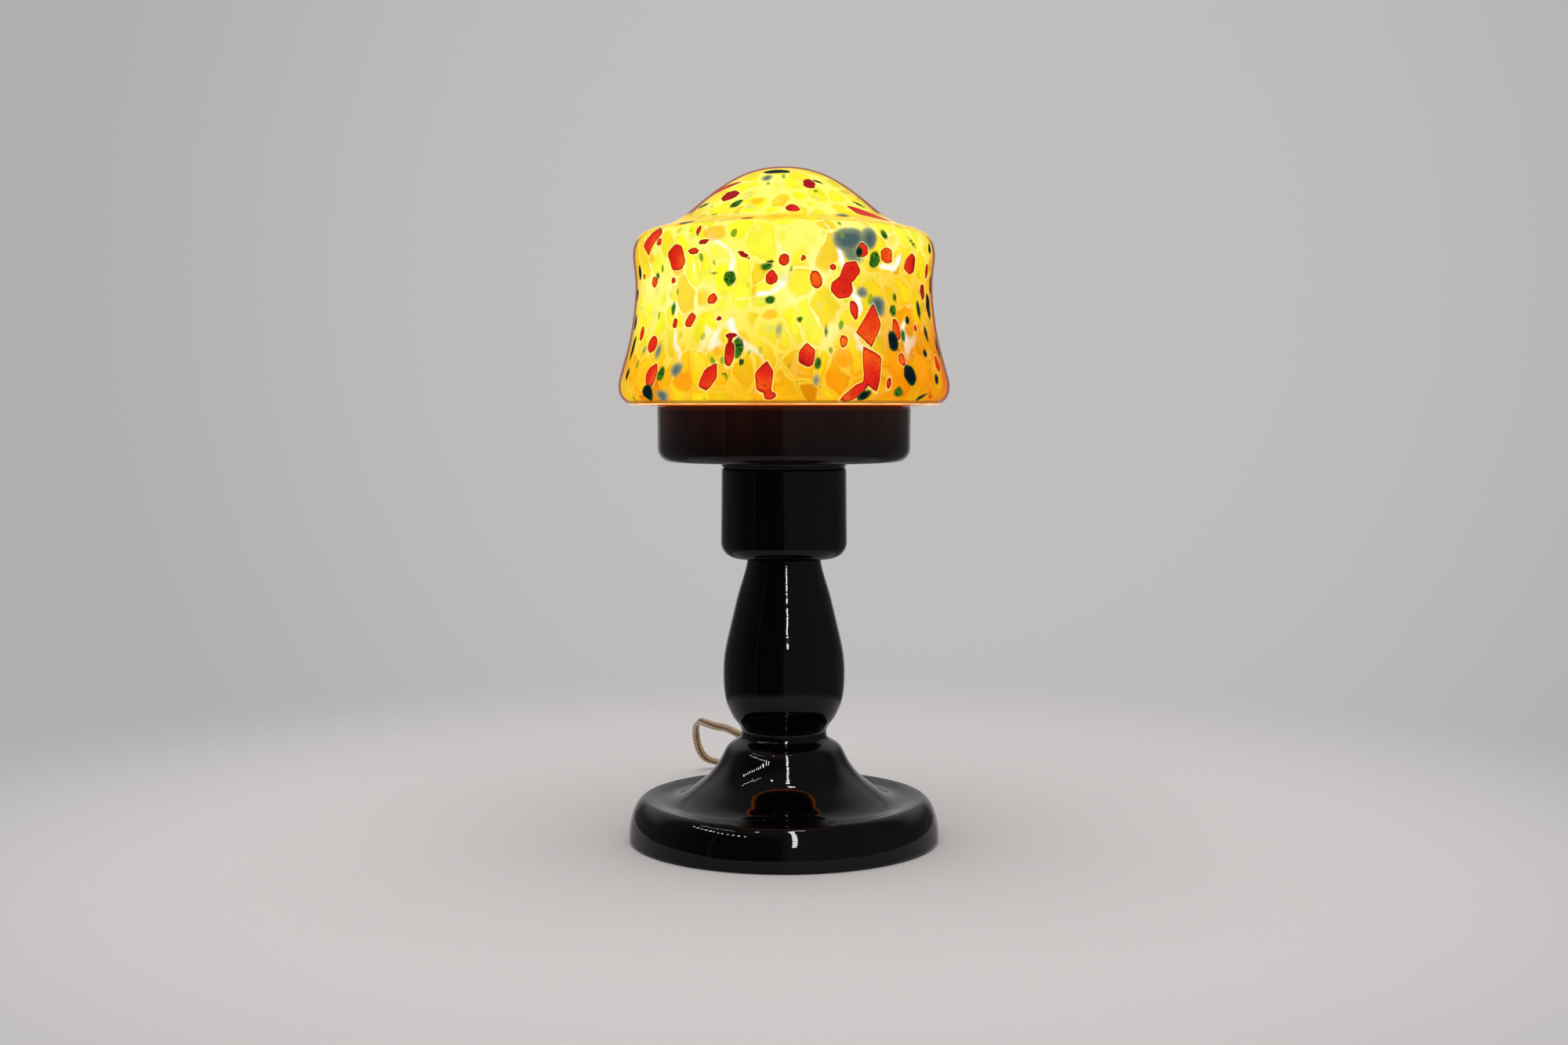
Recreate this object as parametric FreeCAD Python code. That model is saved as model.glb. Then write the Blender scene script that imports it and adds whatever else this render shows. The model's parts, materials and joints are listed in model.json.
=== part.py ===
import FreeCAD, Part
import math
import os

from FreeCAD import Vector

os.makedirs("parts", exist_ok=True)

# A table lamp of stacked black glass pieces on a threaded tube, under a lit spatter glass shade.
# All sizes are in millimetres; the origin is the centre of the foot's underside and +Z is up.

# Clearances and thin parts shared by many pieces
GASKET_THICKNESS = 0.8
GASKET_INSET = 1.2
SEAT_GAP = 0.2
TUBE_CLEARANCE = 0.5
THREAD_CLEARANCE = 0.1

# Foot: a glass disc with a rounded rim, a shallow dish and a cone up to the neck
FOOT_RADIUS = 94.8
FOOT_EDGE_ROUND = 2.2
FOOT_CREST_RADIUS = 84.35
FOOT_CREST_HEIGHT = 25.9
FOOT_VALLEY_RADIUS = 71.5
FOOT_VALLEY_HEIGHT = 24.2
FOOT_HEIGHT = 65.3
FOOT_WALL = 5.5
FOOT_NECK_GLASS = 9.5
NECK_RADIUS = 26.0

# The cone from the valley to the neck, as shares of the way in and of the way up
CONE_SHAPE = (
    (0.225, 0.075),
    (0.355, 0.180),
    (0.490, 0.295),
    (0.601, 0.418),
    (0.690, 0.552),
    (0.757, 0.690),
    (0.817, 0.800),
    (0.891, 0.862),
    (0.958, 0.905),
    (0.992, 0.945),
)
CONE_SHOULDER_COUNT = 6

# Baluster: a closed glass vase between the neck and the socket cup
BALUSTER_HEIGHT = 105.1
BALUSTER_BELLY_RADIUS = 37.3
BALUSTER_BELLY_HEIGHT = 35.0
BALUSTER_TOP_RADIUS = 22.6
BALUSTER_WALL = 4.5
BALUSTER_END_GLASS = 7.0

# Shares of the height and of the swell, below and above the belly
BALUSTER_LOWER_SHAPE = (
    (0.045, 0.030),
    (0.110, 0.130),
    (0.210, 0.375),
    (0.330, 0.590),
    (0.500, 0.815),
    (0.740, 0.960),
)
BALUSTER_UPPER_SHAPE = (
    (0.160, 0.960),
    (0.330, 0.805),
    (0.520, 0.590),
    (0.720, 0.350),
    (0.890, 0.105),
    (0.965, 0.020),
)

# Socket cup: a deep glass cylinder around the lampholder
SOCKET_CUP_HEIGHT = 55.2
SOCKET_CUP_RADIUS = 38.8
SOCKET_CUP_TOP_RADIUS = 38.35
SOCKET_CUP_CORNER = 10.0
SOCKET_CUP_WALL = 4.0
SOCKET_CUP_FLOOR = 6.0
SOCKET_CUP_LIP_ROUND = 1.3

# Gallery cup: the wide glass bowl that carries the shade
GALLERY_RADIUS = 77.8
GALLERY_LOW_RADIUS = 77.4
GALLERY_HEIGHT = 36.8
GALLERY_CORNER = 8.5
GALLERY_WALL = 4.2
GALLERY_FLOOR = 5.0
GALLERY_LIP_ROUND = 1.0
GALLERY_RING_HEIGHT = 3.0
GALLERY_RING_RADIUS = 38.5
GALLERY_RING_WALL = 5.0
GALLERY_RING_FILLET = 2.4

# Shade: spatter glass, seated on the gallery cup's lip by a collar inside it
SHADE_HEIGHT = 146.7
SHADE_RIM_RADIUS = 101.4
SHADE_RIM_HEIGHT = 12.8
SHADE_WAIST_RADIUS = 91.0
SHADE_WAIST_HEIGHT = 71.2
SHADE_SHOULDER_RADIUS = 92.5
SHADE_SHOULDER_HEIGHT = 92.0
SHADE_STEP_RADIUS = 73.0
SHADE_STEP_HEIGHT = 109.9
SHADE_GLASS = 3.2
SHADE_UNDERSIDE_RADIUS = 93.5
SHADE_UNDERSIDE_RISE = 0.95
SHADE_COLLAR_DEPTH = 10.0
SHADE_COLLAR_CLEARANCE = 1.1
SHADE_COLLAR_LAND = 0.1

# Shares of the turn in and of the turn up, from the underside round to the rim
SHADE_UNDER_SHAPE = (
    (0.36, 0.24),
    (0.06, 0.60),
)
# Shares of the height and of the widening, from rim to waist and from waist to shoulder
SHADE_FLARE_SHAPE = (
    (0.135, 0.850),
    (0.300, 0.590),
    (0.500, 0.320),
    (0.755, 0.105),
)
SHADE_WAIST_SHAPE = ((0.500, 0.330),)
# Shares of the way in and of the way up, over the shoulder and then over the dome
SHADE_SHOULDER_SHAPE = (
    (0.062, 0.400),
    (0.220, 0.675),
    (0.435, 0.815),
    (0.690, 0.905),
)
SHADE_DOME_SHAPE = (
    (0.096, 0.092),
    (0.205, 0.250),
    (0.343, 0.478),
    (0.507, 0.715),
    (0.671, 0.886),
    (0.836, 0.976),
)

# Threaded stem tube and its fasteners
STEM_RADIUS = 4.95
STEM_BORE = 3.9
STEM_BELOW_NUT = 3.5
STEM_INTO_HOLDER = 8.0
NUT_ACROSS_FLATS = 17.0
NUT_HEIGHT = 5.0
NUT_CHAMFER = 0.6
WASHER_RADIUS = 14.0
WASHER_THICKNESS = 1.5
DISHED_WASHER_RADIUS = 17.0
DISHED_WASHER_DEPTH = 2.6
DISHED_WASHER_RIM = 4.0
DISHED_WASHER_SLOPE = 2.5
WASHER_GASKET_THICKNESS = 1.0

# Lampholder for a 27 mm screw cap
HOLDER_ENTRY_RADIUS = 8.5
HOLDER_ENTRY_HEIGHT = 6.0
HOLDER_CAP_RADIUS = 21.8
HOLDER_CAP_HEIGHT = 22.0
HOLDER_CAP_FLOOR = 2.4
HOLDER_CAP_LEDGE = 1.4
HOLDER_SHELL_RADIUS = 19.6
HOLDER_SHELL_HEIGHT = 32.0
HOLDER_SHELL_BORE = 17.0
HOLDER_MOUTH_RADIUS = 15.2
HOLDER_MOUTH_LIP = 2.5
HOLDER_GAP_TO_NUT = 5.0
INSERT_HEIGHT = 13.5
INSERT_CLEARANCE = 0.3
INSERT_FLANGE_RADIUS = 19.3
INSERT_FLANGE_HEIGHT = 2.2
SCREW_SHELL_RADIUS = 14.6
SCREW_SHELL_WALL = 0.6
SCREW_SHELL_HEIGHT = 21.0
CONTACT_TONGUE_LENGTH = 11.0
CONTACT_TONGUE_WIDTH = 6.0
CONTACT_TONGUE_THICKNESS = 0.8
CONTACT_TONGUE_CLEARANCE = 1.0
TERMINAL_OFFSET = 9.5
TERMINAL_RADIUS = 2.0
TERMINAL_LENGTH = 5.0
GRUB_SCREW_RADIUS = 1.5
SLOT_WIDTH = 0.6
SLOT_DEPTH = 1.0
CLAMP_RING_RADIUS = 28.5
CLAMP_RING_HEIGHT = 4.0
CLAMP_RING_GRIPS = 24
CLAMP_GRIP_RADIUS = 1.1

# Bulb
BULB_CAP_RADIUS = 13.2
BULB_CAP_GROOVE = 0.9
BULB_CAP_PITCH = 3.629
BULB_CAP_TURNS = 5
BULB_CAP_WALL = 0.5
BULB_CAP_COLLAR = 3.5
BULB_INSULATOR_HEIGHT = 3.4
BULB_CONTACT_RADIUS = 4.6
BULB_CONTACT_HEIGHT = 1.6
BULB_RADIUS = 30.0
BULB_LENGTH = 105.0
BULB_GLASS = 1.0
BULB_NECK_RADIUS = 12.3
BULB_STEM_HEIGHT = 34.0
BULB_STEM_RADIUS = 2.2
BULB_STEM_FLARE_HEIGHT = 7.0
BULB_STEM_ROD_HEIGHT = 16.0
FILAMENT_COUNT = 4
FILAMENT_LENGTH = 30.0
FILAMENT_RADIUS = 0.9
FILAMENT_CIRCLE = 7.0
FILAMENT_PLATE_THICKNESS = 0.6

# The envelope's flare, as shares of the widening and of the way up to the bulb's centre
BULB_FLARE_SHAPE = (
    (0.16, 0.17),
    (0.48, 0.42),
    (0.86, 0.74),
)

# Cord: flat twin flex, modelled round at its width
CORD_DIAMETER = 5.6
CORD_EXIT_HEIGHT = 50.0
EXIT_HOLE_RADIUS = 4.8
RELIEF_FLANGE_RADIUS = 6.8
RELIEF_FLANGE_THICKNESS = 1.8
RELIEF_WALLS_DEEP = 1.6
RELIEF_TAIL_LENGTH = 22.0
RELIEF_TAIL_RADIUS = 3.7
RELIEF_BORE_CLEARANCE = 0.1
LEAD_DROP_RADIUS = 11.0
LEAD_TURN_RADIUS = 8.8

# The put-away coil: two layers, spiral in and out again
COIL_CENTRE = Vector(5.5, 150.0, 0.0)
COIL_MIDDLE_RADIUS = 32.0
COIL_PITCH = 6.2
COIL_TURNS = 6.625
COIL_START_ANGLE = 0.0
COIL_LIFT = 0.8
TIE_ANGLE = 188.0
TIE_WIDTH = 9.0
TIE_THICKNESS = 0.6
TIE_CLEARANCE = 0.15

# Inline switch
SWITCH_CENTRE = Vector(4.9, 214.7, 0.0)
SWITCH_HEADING = -25.0
SWITCH_LENGTH = 58.0
SWITCH_WIDTH = 22.0
SWITCH_HEIGHT = 14.6
SWITCH_WALL = 1.8
SWITCH_ROUND = 3.0
SWITCH_NOSE_WIDTH = 12.0
SWITCH_SHOULDER_SHARE = 0.31
SWITCH_SCREW_SHARE = 0.28
SWITCH_CORD_HEIGHT = 4.2
SWITCH_CORD_GRIP = 5.0
SWITCH_BOSS_RADIUS = 2.6
SWITCH_SCREW_RADIUS = 0.8
SWITCH_SCREW_HEAD_RADIUS = 1.6
SWITCH_SCREW_HEAD_HEIGHT = 1.4
SWITCH_SCREW_SINK = 0.4
STRIP_THICKNESS = 0.6
TERMINAL_STRIP_LENGTH = 14.0
TERMINAL_STRIP_WIDTH = 4.4
TERMINAL_POST_HEIGHT = 3.0
ROCKER_LENGTH = 20.0
ROCKER_WIDTH = 9.0
ROCKER_GAP = 0.4
ROCKER_THROW = 14.0
ROCKER_STAND_PROUD = 1.4
ROCKER_PIVOT_DEPTH = 3.2
ROCKER_BELLY = 2.6
ROCKER_END_ROUND = 0.8
ROCKER_MIDDLE_ROUND = 6.0
ROCKER_PIN_RADIUS = 1.0
ROCKER_PIN_CLEARANCE = 0.05
ROCKER_FRAME_WALL = 1.6
ROCKER_FRAME_DEPTH = 7.6

# Plug: flat two-pin plug with a moulded body
PLUG_TAIL = Vector(20.1, 165.0, 0.0)
PLUG_WIDTH = 35.3
PLUG_THICKNESS = 13.7
PLUG_BODY_LENGTH = 33.0
PLUG_BOOT_LENGTH = 8.0
PLUG_BOOT_RADIUS = 4.6
PLUG_BOOT_WALL = 0.8
PLUG_BACK_WIDTH = 13.0
PLUG_EDGE_ROUND = 1.2
PLUG_WIDEST_SHARE = 0.6
PLUG_BACK_ROUND = 2.0
PLUG_SIDE_ROUND = 5.0
PLUG_FRONT_ROUND = 1.5
PLUG_PIN_SPACING = 18.6
PLUG_PIN_LENGTH = 19.0
PLUG_PIN_RADIUS = 2.0
PLUG_PIN_ROOT = 6.0
PLUG_SLEEVE_LENGTH = 10.0
PLUG_SLEEVE_WALL = 0.4
PLUG_REST_GAP = 0.2

# Heights of the stack, each on the one below
neck_z = FOOT_HEIGHT
foot_ceiling_z = neck_z - FOOT_NECK_GLASS
baluster_z = neck_z + GASKET_THICKNESS
baluster_top_z = baluster_z + BALUSTER_HEIGHT
socket_cup_z = baluster_top_z + GASKET_THICKNESS
socket_cup_top_z = socket_cup_z + SOCKET_CUP_HEIGHT
gallery_z = socket_cup_top_z + GASKET_THICKNESS
gallery_under_z = gallery_z + GALLERY_RING_HEIGHT
gallery_floor_z = gallery_under_z + GALLERY_FLOOR
gallery_top_z = gallery_z + GALLERY_HEIGHT
shade_z = gallery_top_z + SEAT_GAP
shade_top_z = shade_z + SHADE_HEIGHT

cord_radius = CORD_DIAMETER / 2
glass_bore = STEM_RADIUS + TUBE_CLEARANCE


def flat(r, z):
    """A point of a profile in the XZ plane."""
    return Vector(r, 0, z)


def line(a, b):
    return Part.LineSegment(a, b).toShape()


def spline(points, start=None, end=None):
    """A smooth curve through points, with its end directions where they are given."""
    curve = Part.BSplineCurve()
    if start is None:
        curve.interpolate(Points=points)
    else:
        start = Vector(start).normalize()
        end = Vector(end).normalize()
        curve.interpolate(Points=points, InitialTangent=start, FinalTangent=end, Scale=False)
    return curve


def rounded(corners, closed=True):
    """Edges of an outline through corners (point, rounding), with each rounding as a tangent arc."""
    count = len(corners)
    edges = []
    previous_end = None
    first_start = None
    for i, (point, rounding) in enumerate(corners):
        if rounding == 0 or (not closed and i in (0, count - 1)):
            entry = exit_point = point
            arc = None
        else:
            before = (corners[i - 1][0] - point).normalize()
            after = (corners[(i + 1) % count][0] - point).normalize()
            half = before.getAngle(after) / 2
            reach = rounding / math.tan(half)
            entry = point + before * reach
            exit_point = point + after * reach
            bisector = (before + after).normalize()
            middle = point + bisector * (rounding / math.sin(half) - rounding)
            arc = Part.Arc(entry, middle, exit_point).toShape()
        if previous_end is None:
            first_start = entry
        elif previous_end.distanceToPoint(entry) > 1e-7:
            edges.append(line(previous_end, entry))
        if arc is not None:
            edges.append(arc)
        previous_end = exit_point
    if closed and previous_end.distanceToPoint(first_start) > 1e-7:
        edges.append(line(previous_end, first_start))
    return edges


def revolved(edges):
    """A solid of revolution about Z from the edges of a closed profile."""
    face = Part.Face(Part.Wire(Part.__sortEdges__(edges)))
    return face.revolve(Vector(0, 0, 0), Vector(0, 0, 1), 360)


def turned(corners):
    """A solid of revolution about Z from (radius, height, rounding) corners."""
    return revolved(rounded([(flat(r, z), rounding) for r, z, rounding in corners]))


def ring(inner, outer, low, high, rounding=0.0):
    return turned(
        (
            (inner, low, 0),
            (outer, low, rounding),
            (outer, high, rounding),
            (inner, high, 0),
        )
    )


def inset(curve, points, wall):
    """The points moved square to the curve, to its left, by the wall."""
    moved = []
    for point in points:
        tangent = curve.tangent(curve.parameter(point))[0]
        moved.append(point + Vector(-tangent.z, 0, tangent.x) * wall)
    return moved


def radius_at(curve, height):
    """The radius of a rising profile curve at a height."""
    low = curve.FirstParameter
    high = curve.LastParameter
    for _ in range(50):
        middle = (low + high) / 2
        if curve.value(middle).z < height:
            low = middle
        else:
            high = middle
    return curve.value(middle).x


def hexagon(across_flats, low, height, bore):
    corner = across_flats / 2 / math.cos(math.pi / 6)
    corners = [
        Vector(corner * math.cos(math.radians(60 * i)), corner * math.sin(math.radians(60 * i)), low)
        for i in range(7)
    ]
    prism = Part.Face(Part.makePolygon(corners)).extrude(Vector(0, 0, height))
    chamfered = prism.common(
        turned(
            (
                (0, low, 0),
                (across_flats / 2, low, 0),
                (corner, low + NUT_CHAMFER, 0),
                (corner, low + height - NUT_CHAMFER, 0),
                (across_flats / 2, low + height, 0),
                (0, low + height, 0),
            )
        )
    )
    return chamfered.cut(Part.makeCylinder(bore, height, Vector(0, 0, low)))


def placed(shape, origin, heading):
    """A shape built about its own origin, turned by heading about Z and moved."""
    copy = shape.copy()
    copy.rotate(Vector(0, 0, 0), Vector(0, 0, 1), heading)
    copy.translate(origin)
    return copy


# Foot


def foot_crown_points():
    """Outer outline from the rim's crest over the dish and up the cone to the neck's top."""
    way_in = FOOT_VALLEY_RADIUS - NECK_RADIUS
    way_up = FOOT_HEIGHT - FOOT_VALLEY_HEIGHT
    points = [flat(FOOT_CREST_RADIUS, FOOT_CREST_HEIGHT), flat(FOOT_VALLEY_RADIUS, FOOT_VALLEY_HEIGHT)]
    for share_in, share_up in CONE_SHAPE:
        points.append(flat(FOOT_VALLEY_RADIUS - way_in * share_in, FOOT_VALLEY_HEIGHT + way_up * share_up))
    points.append(flat(NECK_RADIUS, FOOT_HEIGHT))
    return points


def foot_crown():
    return spline(foot_crown_points(), Vector(-1, 0, 0), Vector(0, 0, 1))


def rim_arc(wall):
    """A quarter ellipse from under the rim's crest to its side, inset by the wall."""
    centre = flat(FOOT_CREST_RADIUS, FOOT_EDGE_ROUND)
    across = FOOT_RADIUS - FOOT_CREST_RADIUS - wall
    up = FOOT_CREST_HEIGHT - FOOT_EDGE_ROUND - wall
    ellipse = Part.Ellipse(centre + Vector(0, 0, up), centre + Vector(across, 0, 0), centre)
    return Part.ArcOfEllipse(ellipse, 0, math.pi / 2).toShape()


def foot():
    crown = foot_crown()
    inner_points = inset(crown, foot_crown_points()[: 2 + CONE_SHOULDER_COUNT + 1], FOOT_WALL)
    inner = spline(inner_points, Vector(-1, 0, 0), Vector(-1, 0, 1))
    ceiling_radius = inner_points[-1].x - (foot_ceiling_z - inner_points[-1].z)
    opening_radius = FOOT_RADIUS - FOOT_WALL
    under = flat(FOOT_RADIUS - FOOT_EDGE_ROUND, 0)
    side = flat(FOOT_RADIUS, FOOT_EDGE_ROUND)
    diagonal = FOOT_EDGE_ROUND / math.sqrt(2)
    edge_middle = flat(under.x + diagonal, FOOT_EDGE_ROUND - diagonal)
    edges = [
        Part.Arc(under, edge_middle, side).toShape(),
        rim_arc(0),
        crown.toShape(),
        line(flat(NECK_RADIUS, neck_z), flat(glass_bore, neck_z)),
        line(flat(glass_bore, neck_z), flat(glass_bore, foot_ceiling_z)),
        line(flat(glass_bore, foot_ceiling_z), flat(ceiling_radius, foot_ceiling_z)),
        line(flat(ceiling_radius, foot_ceiling_z), inner_points[-1]),
        inner.toShape(),
        rim_arc(FOOT_WALL),
        line(flat(opening_radius, FOOT_EDGE_ROUND), flat(opening_radius, 0)),
        line(flat(opening_radius, 0), under),
    ]
    exit_hole = Part.makeCylinder(
        EXIT_HOLE_RADIUS, FOOT_RADIUS, Vector(0, STEM_RADIUS, CORD_EXIT_HEIGHT), Vector(0, 1, 0)
    )
    return revolved(edges).cut(exit_hole)


def under_crown(grow):
    """The space under the foot's dish and cone, grown outward."""
    points = inset(foot_crown(), foot_crown_points(), -grow)
    edges = [
        spline(points, Vector(-1, 0, 0), Vector(0, 0, 1)).toShape(),
        line(points[-1], flat(0, points[-1].z)),
        line(flat(0, points[-1].z), flat(0, 0)),
        line(flat(0, 0), flat(points[0].x, 0)),
        line(flat(points[0].x, 0), points[0]),
    ]
    return revolved(edges)


def neck_gasket():
    return ring(glass_bore, NECK_RADIUS - GASKET_INSET, neck_z, baluster_z)


# Baluster


def baluster_points():
    low_swell = BALUSTER_BELLY_RADIUS - NECK_RADIUS
    high_swell = BALUSTER_BELLY_RADIUS - BALUSTER_TOP_RADIUS
    high_rise = BALUSTER_HEIGHT - BALUSTER_BELLY_HEIGHT
    points = [flat(NECK_RADIUS, baluster_z)]
    for share_up, swell in BALUSTER_LOWER_SHAPE:
        points.append(flat(NECK_RADIUS + low_swell * swell, baluster_z + BALUSTER_BELLY_HEIGHT * share_up))
    belly_z = baluster_z + BALUSTER_BELLY_HEIGHT
    points.append(flat(BALUSTER_BELLY_RADIUS, belly_z))
    for share_up, swell in BALUSTER_UPPER_SHAPE:
        points.append(flat(BALUSTER_TOP_RADIUS + high_swell * swell, belly_z + high_rise * share_up))
    points.append(flat(BALUSTER_TOP_RADIUS, baluster_top_z))
    return points


def baluster():
    outer = spline(baluster_points(), Vector(0, 0, 1), Vector(0, 0, 1))
    floor_z = baluster_z + BALUSTER_END_GLASS
    ceiling_z = baluster_top_z - BALUSTER_END_GLASS
    steps = 8
    inner_points = []
    for i in range(steps + 1):
        height = floor_z + (ceiling_z - floor_z) * i / steps
        inner_points.append(flat(radius_at(outer, height) - BALUSTER_WALL, height))
    inner = spline(inner_points)
    edges = [
        outer.toShape(),
        line(flat(BALUSTER_TOP_RADIUS, baluster_top_z), flat(glass_bore, baluster_top_z)),
        line(flat(glass_bore, baluster_top_z), flat(glass_bore, ceiling_z)),
        line(flat(glass_bore, ceiling_z), inner_points[-1]),
        inner.toShape(),
        line(inner_points[0], flat(glass_bore, floor_z)),
        line(flat(glass_bore, floor_z), flat(glass_bore, baluster_z)),
        line(flat(glass_bore, baluster_z), flat(NECK_RADIUS, baluster_z)),
    ]
    return revolved(edges)


def baluster_top_gasket():
    return ring(glass_bore, BALUSTER_TOP_RADIUS - GASKET_INSET, baluster_top_z, socket_cup_z)


# Socket cup and gallery cup


def socket_cup():
    inner_top = SOCKET_CUP_TOP_RADIUS - SOCKET_CUP_WALL
    inner_low = SOCKET_CUP_RADIUS - SOCKET_CUP_WALL
    lip = SOCKET_CUP_LIP_ROUND
    return turned(
        (
            (glass_bore, socket_cup_z, 0),
            (SOCKET_CUP_RADIUS, socket_cup_z, SOCKET_CUP_CORNER),
            (SOCKET_CUP_TOP_RADIUS, socket_cup_top_z, lip),
            (inner_top, socket_cup_top_z, lip),
            (inner_low, socket_cup_z + SOCKET_CUP_FLOOR, SOCKET_CUP_CORNER - SOCKET_CUP_WALL),
            (glass_bore, socket_cup_z + SOCKET_CUP_FLOOR, 0),
        )
    )


def gallery_gasket():
    inner = GALLERY_RING_RADIUS - GALLERY_RING_WALL + GASKET_INSET
    return ring(inner, SOCKET_CUP_TOP_RADIUS - GASKET_INSET, socket_cup_top_z, gallery_z)


def gallery_cup():
    hole = HOLDER_SHELL_RADIUS + TUBE_CLEARANCE
    ring_inner = GALLERY_RING_RADIUS - GALLERY_RING_WALL
    inner = GALLERY_RADIUS - GALLERY_WALL
    lip = GALLERY_LIP_ROUND
    return turned(
        (
            (hole, gallery_under_z, 0),
            (ring_inner, gallery_under_z, 0),
            (ring_inner, gallery_z, 0.8),
            (GALLERY_RING_RADIUS, gallery_z, 0.8),
            (GALLERY_RING_RADIUS, gallery_under_z, GALLERY_RING_FILLET),
            (GALLERY_LOW_RADIUS, gallery_under_z, GALLERY_CORNER),
            (GALLERY_RADIUS, gallery_top_z, lip),
            (inner, gallery_top_z, lip),
            (inner, gallery_floor_z, GALLERY_CORNER - GALLERY_WALL),
            (hole, gallery_floor_z, 0),
        )
    )


# Shade


def shade_points():
    """Outer outline from the underside's edge round the rim, waist and shoulder to the dome's top."""
    rim_z = shade_z + SHADE_RIM_HEIGHT
    waist_z = shade_z + SHADE_WAIST_HEIGHT
    shoulder_z = shade_z + SHADE_SHOULDER_HEIGHT
    step_z = shade_z + SHADE_STEP_HEIGHT
    turn_in = SHADE_RIM_RADIUS - SHADE_UNDERSIDE_RADIUS
    under_z = shade_z + SHADE_UNDERSIDE_RISE
    turn_up = rim_z - under_z
    points = [flat(SHADE_UNDERSIDE_RADIUS, under_z)]
    for share_in, share_up in SHADE_UNDER_SHAPE:
        points.append(flat(SHADE_RIM_RADIUS - turn_in * share_in, under_z + turn_up * share_up))
    points.append(flat(SHADE_RIM_RADIUS, rim_z))
    flare = SHADE_RIM_RADIUS - SHADE_WAIST_RADIUS
    for share_up, widening in SHADE_FLARE_SHAPE:
        points.append(flat(SHADE_WAIST_RADIUS + flare * widening, rim_z + (waist_z - rim_z) * share_up))
    points.append(flat(SHADE_WAIST_RADIUS, waist_z))
    swell = SHADE_SHOULDER_RADIUS - SHADE_WAIST_RADIUS
    rise = shoulder_z - waist_z
    for share_up, widening in SHADE_WAIST_SHAPE:
        points.append(flat(SHADE_WAIST_RADIUS + swell * widening, waist_z + rise * share_up))
    points.append(flat(SHADE_SHOULDER_RADIUS, shoulder_z))
    way_in = SHADE_SHOULDER_RADIUS - SHADE_STEP_RADIUS
    rise = step_z - shoulder_z
    for share_in, share_up in SHADE_SHOULDER_SHAPE:
        points.append(flat(SHADE_SHOULDER_RADIUS - way_in * share_in, shoulder_z + rise * share_up))
    points.append(flat(SHADE_STEP_RADIUS, step_z))
    for share_in, share_up in SHADE_DOME_SHAPE:
        points.append(flat(SHADE_STEP_RADIUS * (1 - share_in), step_z + (shade_top_z - step_z) * share_up))
    points.append(flat(0, shade_top_z))
    return points


def glass_shade():
    points = shade_points()
    outer = spline(points, Vector(1, 0, 0.1), Vector(-1, 0, 0))
    inner_points = inset(outer, points, SHADE_GLASS)
    inner_points[-1] = flat(0, shade_top_z - SHADE_GLASS)
    inner = spline(inner_points, Vector(1, 0, 0.1), Vector(-1, 0, 0))
    collar_outer = GALLERY_RADIUS - GALLERY_WALL - SHADE_COLLAR_CLEARANCE
    collar_inner = collar_outer - SHADE_GLASS
    collar_z = shade_z - SHADE_COLLAR_DEPTH
    lip_z = shade_z + SHADE_GLASS
    edge_round = SHADE_GLASS / 2 - SHADE_COLLAR_LAND
    lower = rounded(
        [
            (inner_points[0], 0),
            (flat(collar_inner, lip_z), SHADE_GLASS),
            (flat(collar_inner, collar_z), edge_round),
            (flat(collar_outer, collar_z), edge_round),
            (flat(collar_outer, shade_z), 0),
            (flat(GALLERY_RADIUS, shade_z), 0),
            (points[0], 0),
        ],
        closed=False,
    )
    axis_line = line(flat(0, shade_top_z), inner_points[-1])
    return revolved(lower + [outer.toShape(), axis_line, inner.toShape()])


# Stem: tube, nuts, washers and gaskets

bottom_gasket_z = foot_ceiling_z - WASHER_GASKET_THICKNESS
dished_washer_z = bottom_gasket_z - DISHED_WASHER_DEPTH
bottom_nut_z = dished_washer_z - NUT_HEIGHT
stem_bottom_z = bottom_nut_z - STEM_BELOW_NUT
cup_floor_z = socket_cup_z + SOCKET_CUP_FLOOR
upper_washer_z = cup_floor_z + WASHER_GASKET_THICKNESS
upper_nut_z = upper_washer_z + WASHER_THICKNESS
holder_z = upper_nut_z + NUT_HEIGHT + HOLDER_GAP_TO_NUT
stem_top_z = holder_z + STEM_INTO_HOLDER
nut_bore = STEM_RADIUS + THREAD_CLEARANCE


def stem_tube():
    return ring(STEM_BORE, STEM_RADIUS, stem_bottom_z, stem_top_z, 0.6)


def bottom_gasket():
    return ring(glass_bore, DISHED_WASHER_RADIUS, bottom_gasket_z, foot_ceiling_z)


def dished_washer():
    """A shallow cup whose rim presses on the gasket and whose floor takes the nut."""
    floor = dished_washer_z + WASHER_THICKNESS
    crown = DISHED_WASHER_RADIUS - DISHED_WASHER_RIM
    return turned(
        (
            (nut_bore, dished_washer_z, 0),
            (crown, dished_washer_z, 1.2),
            (DISHED_WASHER_RADIUS, bottom_gasket_z - WASHER_THICKNESS, 0.6),
            (DISHED_WASHER_RADIUS, bottom_gasket_z, 0),
            (crown, bottom_gasket_z, 0),
            (crown - DISHED_WASHER_SLOPE, floor, 0),
            (nut_bore, floor, 0),
        )
    )


def bottom_nut():
    return hexagon(NUT_ACROSS_FLATS, bottom_nut_z, NUT_HEIGHT, nut_bore)


def upper_gasket():
    return ring(glass_bore, WASHER_RADIUS, cup_floor_z, upper_washer_z)


def upper_washer():
    return ring(nut_bore, WASHER_RADIUS, upper_washer_z, upper_nut_z, 0.4)


def upper_nut():
    return hexagon(NUT_ACROSS_FLATS, upper_nut_z, NUT_HEIGHT, nut_bore)


# Lampholder

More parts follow.
